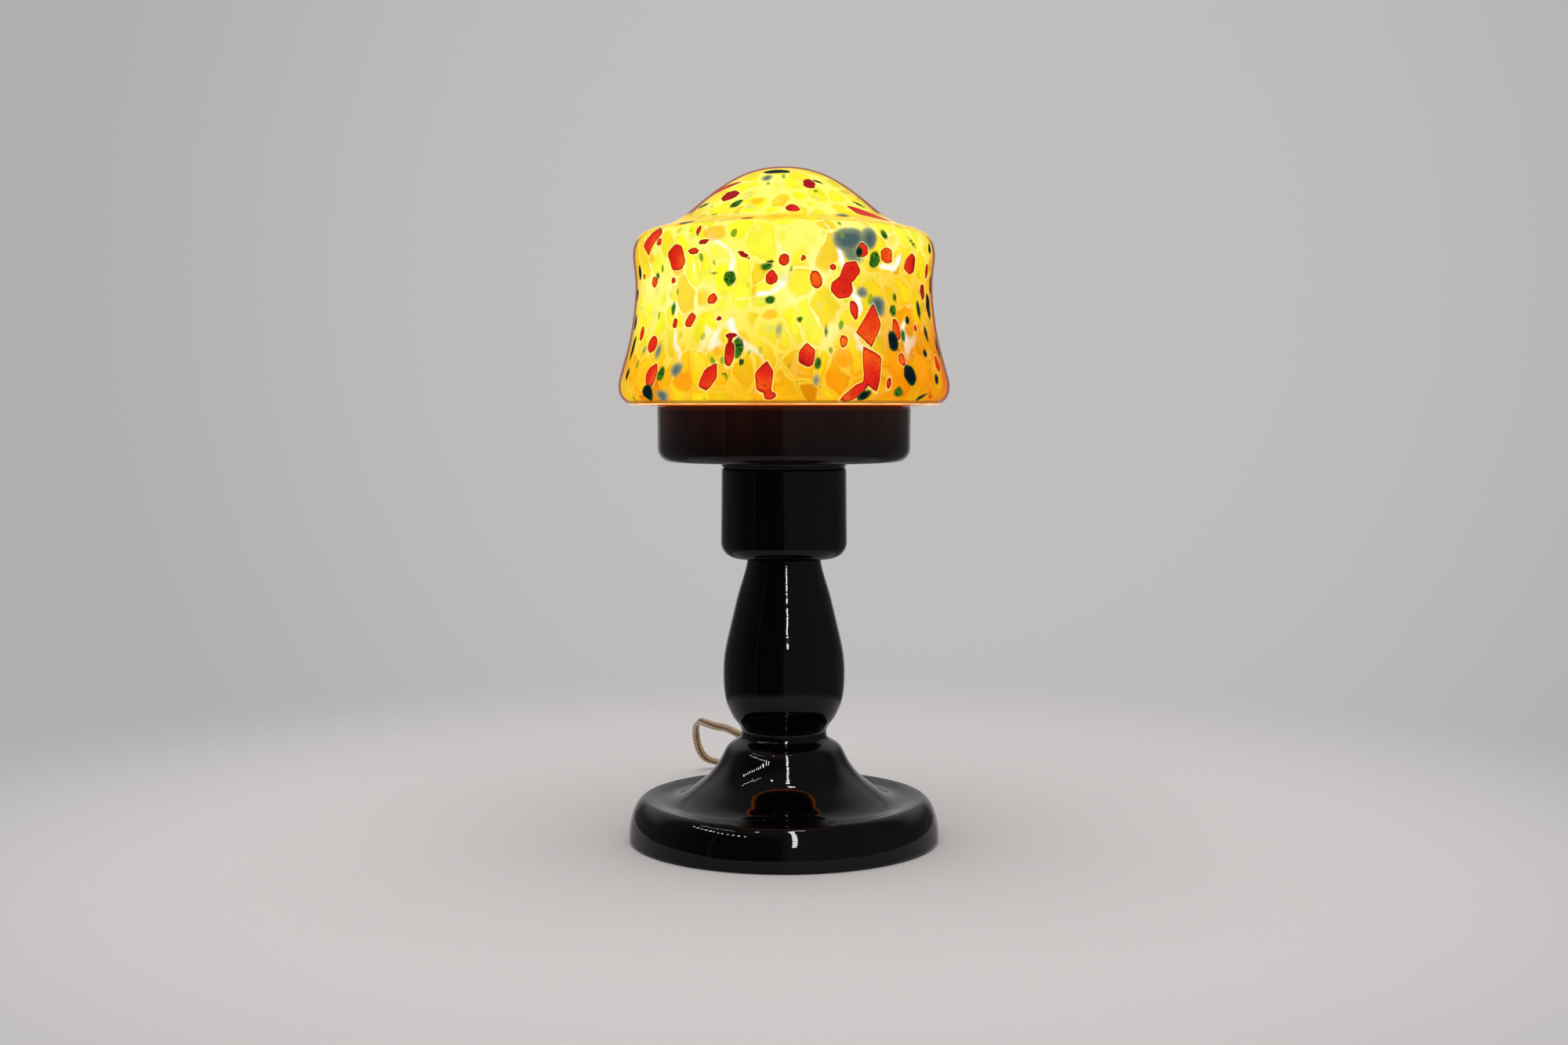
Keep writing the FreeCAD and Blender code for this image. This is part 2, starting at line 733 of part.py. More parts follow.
holder_cap_z = holder_z + HOLDER_ENTRY_HEIGHT
holder_shell_z = holder_cap_z + HOLDER_CAP_HEIGHT
holder_top_z = holder_shell_z + HOLDER_SHELL_HEIGHT
insert_z = holder_shell_z - INSERT_HEIGHT / 2
insert_top_z = insert_z + INSERT_HEIGHT
contact_z = insert_top_z + CONTACT_TONGUE_THICKNESS


def holder_cap():
    """The base cap: a threaded entry for the tube below a wide cup."""
    entry_bore = STEM_RADIUS + THREAD_CLEARANCE
    ledge = INSERT_FLANGE_RADIUS + THREAD_CLEARANCE
    ledge_z = holder_shell_z - INSERT_FLANGE_HEIGHT
    inner = ledge - HOLDER_CAP_LEDGE
    cap = turned(
        (
            (entry_bore, holder_z, 0),
            (HOLDER_ENTRY_RADIUS, holder_z, 1.0),
            (HOLDER_ENTRY_RADIUS, holder_cap_z, 2.0),
            (HOLDER_CAP_RADIUS, holder_cap_z, 5.0),
            (HOLDER_CAP_RADIUS, holder_shell_z, 0.5),
            (ledge, holder_shell_z, 0),
            (ledge, ledge_z, 0),
            (inner, ledge_z, 0),
            (inner, holder_cap_z + HOLDER_CAP_FLOOR, 3.0),
            (entry_bore, holder_cap_z + HOLDER_CAP_FLOOR, 0),
        )
    )
    screw_hole = Part.makeCylinder(
        GRUB_SCREW_RADIUS,
        HOLDER_ENTRY_RADIUS,
        Vector(STEM_RADIUS, 0, holder_z + HOLDER_ENTRY_HEIGHT / 2),
        Vector(1, 0, 0),
    )
    return cap.cut(screw_hole)


def holder_grub_screw():
    middle_z = holder_z + HOLDER_ENTRY_HEIGHT / 2
    screw = Part.makeCylinder(
        GRUB_SCREW_RADIUS,
        HOLDER_ENTRY_RADIUS - STEM_RADIUS,
        Vector(STEM_RADIUS, 0, middle_z),
        Vector(1, 0, 0),
    )
    corner = Vector(HOLDER_ENTRY_RADIUS - SLOT_DEPTH, -GRUB_SCREW_RADIUS, middle_z - SLOT_WIDTH / 2)
    slot = Part.makeBox(SLOT_DEPTH, 2 * GRUB_SCREW_RADIUS, SLOT_WIDTH, corner)
    tube_side = Part.makeCylinder(STEM_RADIUS, HOLDER_ENTRY_HEIGHT, Vector(0, 0, holder_z))
    return screw.cut(slot).cut(tube_side)


def holder_shell():
    """The outer sleeve: a flange above the cap, a plain threaded barrel and a narrower mouth."""
    flange = HOLDER_CAP_RADIUS
    flange_top = holder_shell_z + 3.0
    mouth_z = holder_top_z - HOLDER_MOUTH_LIP
    return turned(
        (
            (HOLDER_SHELL_BORE, holder_shell_z, 0),
            (flange, holder_shell_z, 0.5),
            (flange, flange_top, 0.8),
            (HOLDER_SHELL_RADIUS, flange_top, 0),
            (HOLDER_SHELL_RADIUS, holder_top_z, 1.0),
            (HOLDER_MOUTH_RADIUS, holder_top_z, 1.0),
            (HOLDER_MOUTH_RADIUS, mouth_z, 0),
            (HOLDER_SHELL_BORE, mouth_z, 0),
        )
    )


def terminal_places():
    return [Vector(0, side * TERMINAL_OFFSET, insert_z) for side in (-1, 1)]


def holder_insert():
    """The insulating block, its flange held between cap and shell, with holes for lead and terminals."""
    radius = HOLDER_SHELL_BORE - INSERT_CLEARANCE
    block = turned(
        (
            (0, insert_z, 0),
            (radius, insert_z, 0.8),
            (radius, holder_shell_z - INSERT_FLANGE_HEIGHT, 0),
            (INSERT_FLANGE_RADIUS, holder_shell_z - INSERT_FLANGE_HEIGHT, 0),
            (INSERT_FLANGE_RADIUS, holder_shell_z, 0),
            (radius, holder_shell_z, 0),
            (radius, insert_top_z, 0.8),
            (0, insert_top_z, 0),
        )
    )
    block = block.cut(Part.makeCylinder(STEM_BORE, INSERT_HEIGHT / 2, Vector(0, 0, insert_z)))
    for place in terminal_places():
        block = block.cut(Part.makeCylinder(TERMINAL_RADIUS, TERMINAL_LENGTH, place))
    return block


def holder_terminals():
    heads = []
    for place in terminal_places():
        screw = Part.makeCylinder(TERMINAL_RADIUS, TERMINAL_LENGTH, place)
        corner = place - Vector(TERMINAL_RADIUS, SLOT_WIDTH / 2, 0)
        slot = Part.makeBox(TERMINAL_RADIUS * 2, SLOT_WIDTH, SLOT_DEPTH, corner)
        heads.append(screw.cut(slot))
    return Part.makeCompound(heads)


def holder_screw_shell():
    """The brass shell that takes the bulb's cap, with its floor on the insert."""
    inner = SCREW_SHELL_RADIUS - SCREW_SHELL_WALL
    floor_top = insert_top_z + SCREW_SHELL_WALL
    floor_hole = CONTACT_TONGUE_LENGTH / 2 + CONTACT_TONGUE_CLEARANCE
    return turned(
        (
            (floor_hole, insert_top_z, 0),
            (SCREW_SHELL_RADIUS, insert_top_z, 0.5),
            (SCREW_SHELL_RADIUS, insert_top_z + SCREW_SHELL_HEIGHT, 0),
            (inner, insert_top_z + SCREW_SHELL_HEIGHT, 0),
            (inner, floor_top, 0),
            (floor_hole, floor_top, 0),
        )
    )


def holder_centre_contact():
    corner = Vector(-CONTACT_TONGUE_LENGTH / 2, -CONTACT_TONGUE_WIDTH / 2, insert_top_z)
    tongue = Part.makeBox(CONTACT_TONGUE_LENGTH, CONTACT_TONGUE_WIDTH, CONTACT_TONGUE_THICKNESS, corner)
    upright = [edge for edge in tongue.Edges if abs(edge.Length - CONTACT_TONGUE_THICKNESS) < 1e-6]
    return tongue.makeFillet(CONTACT_TONGUE_WIDTH / 3, upright)


def clamp_ring(low):
    """A threaded ring with finger grips round its edge."""
    band = ring(HOLDER_SHELL_RADIUS + THREAD_CLEARANCE, CLAMP_RING_RADIUS, low, low + CLAMP_RING_HEIGHT, 0.8)
    grips = []
    for i in range(CLAMP_RING_GRIPS):
        angle = 2 * math.pi * i / CLAMP_RING_GRIPS
        centre = Vector(CLAMP_RING_RADIUS * math.cos(angle), CLAMP_RING_RADIUS * math.sin(angle), low)
        grips.append(Part.makeCylinder(CLAMP_GRIP_RADIUS, CLAMP_RING_HEIGHT, centre))
    return band.cut(Part.makeCompound(grips))


def lower_clamp_ring():
    return clamp_ring(gallery_under_z - CLAMP_RING_HEIGHT)


def upper_clamp_ring():
    return clamp_ring(gallery_floor_z)


# Bulb

bulb_z = contact_z
bulb_insulator_z = bulb_z + BULB_CONTACT_HEIGHT
bulb_cap_z = bulb_insulator_z + BULB_INSULATOR_HEIGHT
bulb_thread_top_z = bulb_cap_z + BULB_CAP_PITCH * BULB_CAP_TURNS
bulb_glass_z = bulb_thread_top_z + BULB_CAP_COLLAR
bulb_top_z = bulb_z + BULB_LENGTH
bulb_centre_z = bulb_top_z - BULB_RADIUS


def bulb_contact():
    return turned(
        (
            (0, bulb_z, 0),
            (BULB_CONTACT_RADIUS, bulb_z, 1.2),
            (BULB_CONTACT_RADIUS, bulb_insulator_z, 0),
            (0, bulb_insulator_z, 0),
        )
    )


def bulb_insulator():
    base = BULB_CAP_RADIUS - BULB_CAP_GROOVE - BULB_CAP_WALL
    return turned(
        (
            (0, bulb_insulator_z, 0),
            (BULB_CONTACT_RADIUS + 1.0, bulb_insulator_z, 0),
            (base, bulb_cap_z, 0),
            (0, bulb_cap_z, 0),
        )
    )


def bulb_cap():
    """The screw cap: a thin shell whose rolled thread is drawn as rings at its pitch."""
    root = BULB_CAP_RADIUS - BULB_CAP_GROOVE
    points = [flat(root, bulb_cap_z)]
    steps = 2 * BULB_CAP_TURNS
    for i in range(1, steps + 1):
        height = bulb_cap_z + BULB_CAP_PITCH * i / 2
        points.append(flat(BULB_CAP_RADIUS if i % 2 else root, height))
    outer = spline(points, Vector(0, 0, 1), Vector(0, 0, 1))
    inner = root - BULB_CAP_WALL
    edges = [
        outer.toShape(),
        line(points[-1], flat(root, bulb_glass_z)),
        line(flat(root, bulb_glass_z), flat(inner, bulb_glass_z)),
        line(flat(inner, bulb_glass_z), flat(inner, bulb_cap_z)),
        line(flat(inner, bulb_cap_z), points[0]),
    ]
    return revolved(edges)


def bulb_glass():
    """The envelope: a neck in the cap, a flare and a round top."""
    neck_low_z = bulb_glass_z - BULB_CAP_COLLAR
    neck = min(BULB_NECK_RADIUS, BULB_CAP_RADIUS - BULB_CAP_GROOVE - BULB_CAP_WALL - THREAD_CLEARANCE)
    rise = bulb_centre_z - bulb_glass_z
    widen = BULB_RADIUS - neck
    flare = [flat(neck, bulb_glass_z)]
    for widening, share_up in BULB_FLARE_SHAPE:
        flare.append(flat(neck + widen * widening, bulb_glass_z + rise * share_up))
    flare.append(flat(BULB_RADIUS, bulb_centre_z))
    outer = spline(flare, Vector(0, 0, 1), Vector(0, 0, 1))
    inner_points = [point - Vector(BULB_GLASS, 0, 0) for point in flare]
    inner = spline(inner_points, Vector(0, 0, 1), Vector(0, 0, 1))
    edges = [
        line(flat(neck, neck_low_z), flare[0]),
        outer.toShape(),
        quarter_arc(BULB_RADIUS),
        line(flat(0, bulb_top_z), flat(0, bulb_top_z - BULB_GLASS)),
        quarter_arc(BULB_RADIUS - BULB_GLASS),
        inner.toShape(),
        line(inner_points[0], flat(neck - BULB_GLASS, neck_low_z)),
        line(flat(neck - BULB_GLASS, neck_low_z), flat(neck, neck_low_z)),
    ]
    return revolved(edges)


def quarter_arc(radius):
    """A quarter circle about the bulb's centre, from its widest point to its top."""
    diagonal = radius / math.sqrt(2)
    return Part.Arc(
        flat(radius, bulb_centre_z),
        flat(diagonal, bulb_centre_z + diagonal),
        flat(0, bulb_centre_z + radius),
    ).toShape()


def bulb_stem():
    """The glass foot inside the neck and the rod that carries the filaments."""
    flange = min(BULB_NECK_RADIUS, BULB_CAP_RADIUS - BULB_CAP_GROOVE - BULB_CAP_WALL) - BULB_GLASS - SEAT_GAP
    low = bulb_glass_z - BULB_CAP_COLLAR
    return turned(
        (
            (0, low, 0),
            (flange, low, 0),
            (flange, low + 2.0, 0.8),
            (BULB_STEM_RADIUS * 1.6, low + BULB_STEM_FLARE_HEIGHT, 2.0),
            (BULB_STEM_RADIUS, low + BULB_STEM_ROD_HEIGHT, 2.0),
            (BULB_STEM_RADIUS, low + BULB_STEM_HEIGHT, 1.0),
            (0, low + BULB_STEM_HEIGHT, 0),
        )
    )


def bulb_filaments():
    """Upright filament rods round the stem, on a small carrier plate at its top."""
    plate_z = bulb_glass_z - BULB_CAP_COLLAR + BULB_STEM_HEIGHT
    rods_z = plate_z + FILAMENT_PLATE_THICKNESS
    plate_radius = FILAMENT_CIRCLE + 2 * FILAMENT_RADIUS
    plate = Part.makeCylinder(plate_radius, FILAMENT_PLATE_THICKNESS, Vector(0, 0, plate_z))
    rods = []
    for i in range(FILAMENT_COUNT):
        angle = 2 * math.pi * (i + 0.5) / FILAMENT_COUNT
        low_end = Vector(FILAMENT_CIRCLE * math.cos(angle), FILAMENT_CIRCLE * math.sin(angle), rods_z)
        rods.append(Part.makeCylinder(FILAMENT_RADIUS, FILAMENT_LENGTH, low_end))
    return plate.fuse(rods)


# Cord tubes: straight runs joined by tangent arcs


def tube_path(points):
    """Edges along points, each bend as large as its two runs allow, and the least radius."""
    edges = []
    radii = []
    start = points[0]
    for i in range(1, len(points) - 1):
        corner = points[i]
        before = points[i - 1] - corner
        after = points[i + 1] - corner
        reach = 0.45 * min(before.Length, after.Length)
        before.normalize()
        after.normalize()
        half_turn = (math.pi - before.getAngle(after)) / 2
        radius = reach / math.tan(half_turn)
        entry = corner + before * reach
        leave = corner + after * reach
        bisector = (before + after).normalize()
        middle = corner + bisector * (radius / math.cos(half_turn) - radius)
        edges.append(line(start, entry))
        edges.append(Part.Arc(entry, middle, leave).toShape())
        radii.append(radius)
        start = leave
    edges.append(line(start, points[-1]))
    return edges, radii


def swept(name, edges, radius):
    """A round solid along edges, with its volume set against its section times its length."""
    path = Part.Wire(edges)
    first = edges[0]
    start = first.valueAt(first.FirstParameter)
    direction = first.tangentAt(first.FirstParameter)
    section = Part.Wire(Part.makeCircle(radius, start, direction))
    solid = path.makePipeShell([section], True, False)
    expected = math.pi * radius ** 2 * path.Length
    ratio = solid.Volume / expected
    print(f"{name}: length {path.Length:.1f}, volume ratio {ratio:.4f}, valid {solid.isValid()}")
    return solid


def cord_tube(name, points):
    edges, radii = tube_path(points)
    print(f"{name}: bend radii {[round(radius, 1) for radius in radii]}")
    return swept(name, edges, cord_radius)


# Strain relief and the lead inside the lamp

exit_surface_y = radius_at(foot_crown(), CORD_EXIT_HEIGHT)
relief_start_y = exit_surface_y - FOOT_WALL * RELIEF_WALLS_DEEP
relief_end_y = exit_surface_y + RELIEF_FLANGE_THICKNESS + RELIEF_TAIL_LENGTH
cord_exit = Vector(0, relief_end_y, CORD_EXIT_HEIGHT)


def cord_strain_relief():
    """A rubber bush through the glass, a flange that follows the cone and a tapered tail."""
    bore = cord_radius + RELIEF_BORE_CLEARANCE
    bush_radius = EXIT_HOLE_RADIUS - RELIEF_BORE_CLEARANCE
    bush = turned(
        (
            (bore, relief_start_y, 0),
            (bush_radius, relief_start_y, 0),
            (bush_radius, relief_end_y - RELIEF_TAIL_LENGTH, 0),
            (RELIEF_TAIL_RADIUS, relief_end_y, 0.5),
            (bore, relief_end_y, 0),
        )
    )
    bush.rotate(Vector(0, 0, 0), Vector(1, 0, 0), -90)
    bush.translate(Vector(0, 0, CORD_EXIT_HEIGHT))
    start = Vector(0, STEM_RADIUS, CORD_EXIT_HEIGHT)
    along = Vector(0, 1, 0)
    disc = Part.makeCylinder(RELIEF_FLANGE_RADIUS, relief_end_y, start, along)
    core = Part.makeCylinder(bush_radius, relief_end_y, start, along)
    flange = disc.common(under_crown(RELIEF_FLANGE_THICKNESS)).cut(under_crown(0)).cut(core)
    return bush.fuse(flange).removeSplitter()


def inner_lead():
    """From the strain relief's end, down inside the foot, round and up the tube to the lampholder."""
    drop_z = CORD_EXIT_HEIGHT - LEAD_DROP_RADIUS
    drop_y = 2 * LEAD_TURN_RADIUS
    bend_y = drop_y + LEAD_DROP_RADIUS
    top_z = insert_z + INSERT_HEIGHT / 2
    diagonal = math.sqrt(0.5)
    first_bend = Part.Arc(
        Vector(0, bend_y, CORD_EXIT_HEIGHT),
        Vector(0, bend_y - LEAD_DROP_RADIUS * diagonal, drop_z + LEAD_DROP_RADIUS * diagonal),
        Vector(0, drop_y, drop_z),
    )
    low_turn = Part.Arc(
        Vector(0, drop_y, drop_z),
        Vector(0, LEAD_TURN_RADIUS, drop_z - LEAD_TURN_RADIUS),
        Vector(0, 0, drop_z),
    )
    edges = [
        line(cord_exit, Vector(0, bend_y, CORD_EXIT_HEIGHT)),
        first_bend.toShape(),
        low_turn.toShape(),
        line(Vector(0, 0, drop_z), Vector(0, 0, top_z)),
    ]
    return swept("inner_lead", edges, cord_radius)


# Coil

coil_z = COIL_LIFT + cord_radius
coil_top_z = coil_z + COIL_PITCH + cord_radius
spiral_turns = (COIL_TURNS - 0.5) / 2


def coil_radius(turn):
    """Radius at a turn: in at a steady rate, round in the half turn of the climb, and out again."""
    span = COIL_PITCH * spiral_turns
    inner = COIL_MIDDLE_RADIUS - span / 2
    if turn <= spiral_turns:
        return inner + COIL_PITCH * (spiral_turns - turn)
    if turn >= spiral_turns + 0.5:
        return inner + COIL_PITCH * (turn - spiral_turns - 0.5)
    share = (turn - spiral_turns) / 0.5
    return inner - COIL_PITCH * 0.5 * share * (1 - share)


def coil_height(turn):
    share = min(1.0, max(0.0, (turn - spiral_turns) / 0.5))
    return coil_z + COIL_PITCH * share * share * (3 - 2 * share)


def coil_point(turn):
    angle = math.radians(COIL_START_ANGLE) - 2 * math.pi * turn
    radius = coil_radius(turn)
    return COIL_CENTRE + Vector(radius * math.cos(angle), radius * math.sin(angle), coil_height(turn))


def coil_direction(turn):
    small = 1e-4
    return (coil_point(turn + small) - coil_point(turn - small)).normalize()


def biarc(start, start_way, end, end_way):
    """Two tangent arcs between two points with their directions."""
    across = end - start
    both = start_way + end_way
    a = 2 * (1 - start_way.dot(end_way))
    b = 2 * across.dot(both)
    reach = (-b + math.sqrt(b * b + 4 * a * across.dot(across))) / (2 * a)
    first_corner = start + start_way * reach
    second_corner = end - end_way * reach
    joint = (first_corner + second_corner) * 0.5
    arcs = []
    for low, corner, high in ((start, first_corner, joint), (joint, second_corner, end)):
        cosine = low.distanceToPoint(high) / 2 / low.distanceToPoint(corner)
        middle = (low + corner * (2 * cosine) + high) * (1 / (2 + 2 * cosine))
        arcs.append(Part.Arc(low, middle, high).toShape())
    return arcs


def coil_edges():
    """One unbroken path: a straight end, biarcs of a quarter turn or less, and a straight end."""
    steps = math.ceil(COIL_TURNS * 4)
    first = coil_point(0)
    last = coil_point(COIL_TURNS)
    first_way = coil_direction(0)
    last_way = coil_direction(COIL_TURNS)
    edges = [line(first - first_way * CORD_DIAMETER, first)]
    for i in range(steps):
        low = COIL_TURNS * i / steps
        high = COIL_TURNS * (i + 1) / steps
        edges += biarc(coil_point(low), coil_direction(low), coil_point(high), coil_direction(high))
    edges.append(line(last, last + last_way * CORD_DIAMETER))
    return edges


def coil_self_gap():
    """The least gap between turns, measured on points along the coil."""
    samples = 72
    count = int(COIL_TURNS * samples)
    points = [coil_point(i / samples) for i in range(count)]
    least = 1e9
    for i in range(count):
        for j in range(i + samples // 2, count):
            least = min(least, points[i].distanceToPoint(points[j]))
    return least - CORD_DIAMETER


def cord_coil():
    print(f"coil least gap to itself: {coil_self_gap():.2f}")
    return swept("cord_coil", coil_edges(), cord_radius)


coil_start = coil_point(0) - coil_direction(0) * CORD_DIAMETER
coil_end = coil_point(COIL_TURNS) + coil_direction(COIL_TURNS) * CORD_DIAMETER


def coil_tie():
    """A closed band round the turns at one place."""
    tie_turns = (COIL_START_ANGLE - TIE_ANGLE) % 360 / 360
    widths = []
    turn = tie_turns
    while turn < COIL_TURNS:
        widths.append(coil_radius(turn))
        turn += 1
    slope = COIL_PITCH * TIE_WIDTH / (2 * math.pi * min(widths)) / 2
    low_r = min(widths) - cord_radius - slope - TIE_CLEARANCE - 0.5
    high_r = max(widths) + cord_radius + slope + TIE_CLEARANCE
    low_z = TIE_THICKNESS
    high_z = coil_top_z + TIE_CLEARANCE

    def band(grow, rounding):
        corners = (
            (low_r - grow, low_z - grow),
            (high_r + grow, low_z - grow),
            (high_r + grow, high_z + grow),
            (low_r - grow, high_z + grow),
        )
        outline = rounded([(Vector(r, -TIE_WIDTH / 2, z), rounding) for r, z in corners])
        return Part.Face(Part.Wire(outline)).extrude(Vector(0, TIE_WIDTH, 0))

    tie = band(TIE_THICKNESS, 1.0 + TIE_THICKNESS).cut(band(0, 1.0))
    return placed(tie, COIL_CENTRE, TIE_ANGLE)


# Inline switch, built along its own X axis with its underside at zero

rocker_pivot_z = SWITCH_HEIGHT - ROCKER_PIVOT_DEPTH
rocker_frame_half = Vector(ROCKER_LENGTH / 2 + ROCKER_GAP, ROCKER_WIDTH / 2 + ROCKER_GAP, 0)


def switch_plan(grow, low, high):
    """The rounded plan of the housing, narrower towards its ends, between two heights."""
    half = SWITCH_LENGTH / 2 + grow
    shoulder = SWITCH_LENGTH * SWITCH_SHOULDER_SHARE
    side = SWITCH_WIDTH / 2 + grow
    nose = SWITCH_NOSE_WIDTH / 2 + grow
    corners = [
        (half, -nose),
        (half, nose),
        (shoulder, side),
        (-shoulder, side),
        (-half, nose),
        (-half, -nose),
        (-shoulder, -side),
        (shoulder, -side),
    ]
    edges = rounded([(Vector(x, y, low), SWITCH_ROUND + grow) for x, y in corners])
    return Part.Face(Part.Wire(edges)).extrude(Vector(0, 0, high - low))


def switch_cord_holes():
    """A round way in at each end for the flex."""
    radius = cord_radius + RELIEF_BORE_CLEARANCE
    holes = []
    for end in (-SWITCH_LENGTH / 2, SWITCH_LENGTH / 2 - SWITCH_CORD_GRIP):
        start = Vector(end, 0, SWITCH_CORD_HEIGHT)
        holes.append(Part.makeCylinder(radius, SWITCH_CORD_GRIP, start, Vector(1, 0, 0)))
    return holes


def screw_places():
    reach = SWITCH_LENGTH * SWITCH_SCREW_SHARE
    side = SWITCH_WIDTH / 2 - SWITCH_WALL - SWITCH_BOSS_RADIUS / 2
    return [Vector(reach, side, 0), Vector(-reach, -side, 0)]


def boss(place, radius, low, high):
    return Part.makeCylinder(radius, high - low, place + Vector(0, 0, low))


def switch_lower_housing():
    seam = SWITCH_CORD_HEIGHT
    floor = SWITCH_WALL
    tray = switch_plan(0, 0, seam).cut(switch_plan(-SWITCH_WALL, floor, seam))
    tray = tray.fuse([boss(place, SWITCH_BOSS_RADIUS, 0, seam) for place in screw_places()])
    for place in screw_places():
        tray = tray.cut(boss(place, SWITCH_SCREW_HEAD_RADIUS, 0, SWITCH_SCREW_HEAD_HEIGHT))
        tray = tray.cut(boss(place, SWITCH_SCREW_RADIUS, 0, seam))
    return tray.cut(switch_cord_holes())


def switch_upper_housing():
    seam = SWITCH_CORD_HEIGHT
    ceiling = SWITCH_HEIGHT - SWITCH_WALL
    cover = switch_plan(0, seam, SWITCH_HEIGHT)
    top_edges = []
    for edge in cover.Edges:
        if all(abs(vertex.Z - SWITCH_HEIGHT) < 1e-6 for vertex in edge.Vertexes):
            top_edges.append(edge)
    cover = cover.makeFillet(SWITCH_WALL, top_edges)
    cover = cover.cut(switch_plan(-SWITCH_WALL, seam, ceiling))
    window = rocker_frame_half * 2
    frame = window + Vector(ROCKER_FRAME_WALL, ROCKER_FRAME_WALL, 0) * 2
    frame_z = SWITCH_HEIGHT - ROCKER_FRAME_DEPTH
    frame_box = Part.makeBox(frame.x, frame.y, ceiling - frame_z, Vector(-frame.x / 2, -frame.y / 2, frame_z))
    window_box = Part.makeBox(window.x, window.y, SWITCH_HEIGHT, Vector(-window.x / 2, -window.y / 2, 0))
    cover = cover.fuse([boss(place, SWITCH_BOSS_RADIUS, seam, ceiling) for place in screw_places()])
    cover = cover.fuse(frame_box)
    pin_hole = Part.makeCylinder(
        ROCKER_PIN_RADIUS, frame.y, Vector(0, -frame.y / 2, rocker_pivot_z), Vector(0, 1, 0)
    )
    cover = cover.cut([window_box, pin_hole] + switch_cord_holes())
    return cover.cut([boss(place, SWITCH_SCREW_RADIUS, seam, ceiling) for place in screw_places()])


def rocker_at_rest(shape):
    """Tips a shape built level about the pivot to its rest side and lifts it there."""
    shape.rotate(Vector(0, 0, 0), Vector(0, 1, 0), -ROCKER_THROW / 2)
    shape.translate(Vector(0, 0, rocker_pivot_z))
    return shape


def switch_rocker():
    """A rocker with two sloping faces, a belly and a bore for its pin, tipped to its rest side."""
    half = ROCKER_LENGTH / 2
    side = -ROCKER_WIDTH / 2
    crest = ROCKER_PIVOT_DEPTH + ROCKER_STAND_PROUD
    lift = half * math.tan(math.radians(ROCKER_THROW / 2))
    profile = [
        (Vector(-half * 0.94, side, crest + lift * 0.7), ROCKER_END_ROUND),
        (Vector(0, side, crest - lift * 0.3), ROCKER_MIDDLE_ROUND),
        (Vector(half * 0.94, side, crest + lift * 0.7), ROCKER_END_ROUND),
        (Vector(half * 0.91, side, 0), ROCKER_END_ROUND),
        (Vector(ROCKER_BELLY, side, -ROCKER_BELLY), 1.0),
        (Vector(-ROCKER_BELLY, side, -ROCKER_BELLY), 1.0),
        (Vector(-half * 0.91, side, 0), ROCKER_END_ROUND),
    ]
    body = Part.Face(Part.Wire(rounded(profile))).extrude(Vector(0, ROCKER_WIDTH, 0))
    bore = Part.makeCylinder(
        ROCKER_PIN_RADIUS + ROCKER_PIN_CLEARANCE, ROCKER_WIDTH, Vector(0, side, 0), Vector(0, 1, 0)
    )
    return rocker_at_rest(body.cut(bore))


def switch_moving_contact():
    """A brass strip against the rocker's belly."""
    length = 1.6 * ROCKER_BELLY
    width = 0.45 * ROCKER_WIDTH
    corner = Vector(-length / 2, -width / 2, -ROCKER_BELLY - STRIP_THICKNESS)
    return rocker_at_rest(Part.makeBox(length, width, STRIP_THICKNESS, corner))


def switch_rocker_pin():
    half = rocker_frame_half.y + ROCKER_FRAME_WALL
    return Part.makeCylinder(ROCKER_PIN_RADIUS, 2 * half, Vector(0, -half, rocker_pivot_z), Vector(0, 1, 0))


def switch_terminals():
    """Two brass strips on the tray's floor, each with a raised contact under the rocker."""
    strips = []
    for heading in (0, 180):
        inner = rocker_frame_half.x / 2
        low = Vector(inner, -TERMINAL_STRIP_WIDTH, SWITCH_WALL)
        strip = Part.makeBox(TERMINAL_STRIP_LENGTH, TERMINAL_STRIP_WIDTH, STRIP_THICKNESS, low)
        post = Part.makeBox(TERMINAL_STRIP_WIDTH, TERMINAL_STRIP_WIDTH, TERMINAL_POST_HEIGHT, low)
        strips.append(placed(strip.fuse(post), Vector(0, 0, 0), heading))
    return Part.makeCompound(strips)


def switch_screws():
    length = SWITCH_HEIGHT - 2 * SWITCH_WALL
    screws = []
    for place in screw_places():
        head = boss(place, SWITCH_SCREW_HEAD_RADIUS, SWITCH_SCREW_SINK, SWITCH_SCREW_HEAD_HEIGHT)
        slot_corner = place + Vector(-SWITCH_SCREW_HEAD_RADIUS, -SLOT_WIDTH / 2, SWITCH_SCREW_SINK)
        slot = Part.makeBox(2 * SWITCH_SCREW_HEAD_RADIUS, SLOT_WIDTH, SWITCH_SCREW_SINK, slot_corner)
        screws.append(head.cut(slot).fuse(boss(place, SWITCH_SCREW_RADIUS, SWITCH_SCREW_HEAD_HEIGHT, length)))
    return Part.makeCompound(screws)


def on_switch(shape):
    return placed(shape, SWITCH_CENTRE, SWITCH_HEADING)


switch_way = Vector(math.cos(math.radians(SWITCH_HEADING)), math.sin(math.radians(SWITCH_HEADING)), 0)
switch_grip_reach = SWITCH_LENGTH / 2 - SWITCH_CORD_GRIP
switch_entry = SWITCH_CENTRE - switch_way * switch_grip_reach + Vector(0, 0, SWITCH_CORD_HEIGHT)
switch_leave = SWITCH_CENTRE + switch_way * switch_grip_reach + Vector(0, 0, SWITCH_CORD_HEIGHT)


# Plug, built along its own X axis from the cord's end at zero to the pins, at mid height zero

plug_z = coil_top_z + PLUG_REST_GAP + PLUG_THICKNESS / 2
plug_entry = PLUG_TAIL + Vector(0, 0, plug_z)


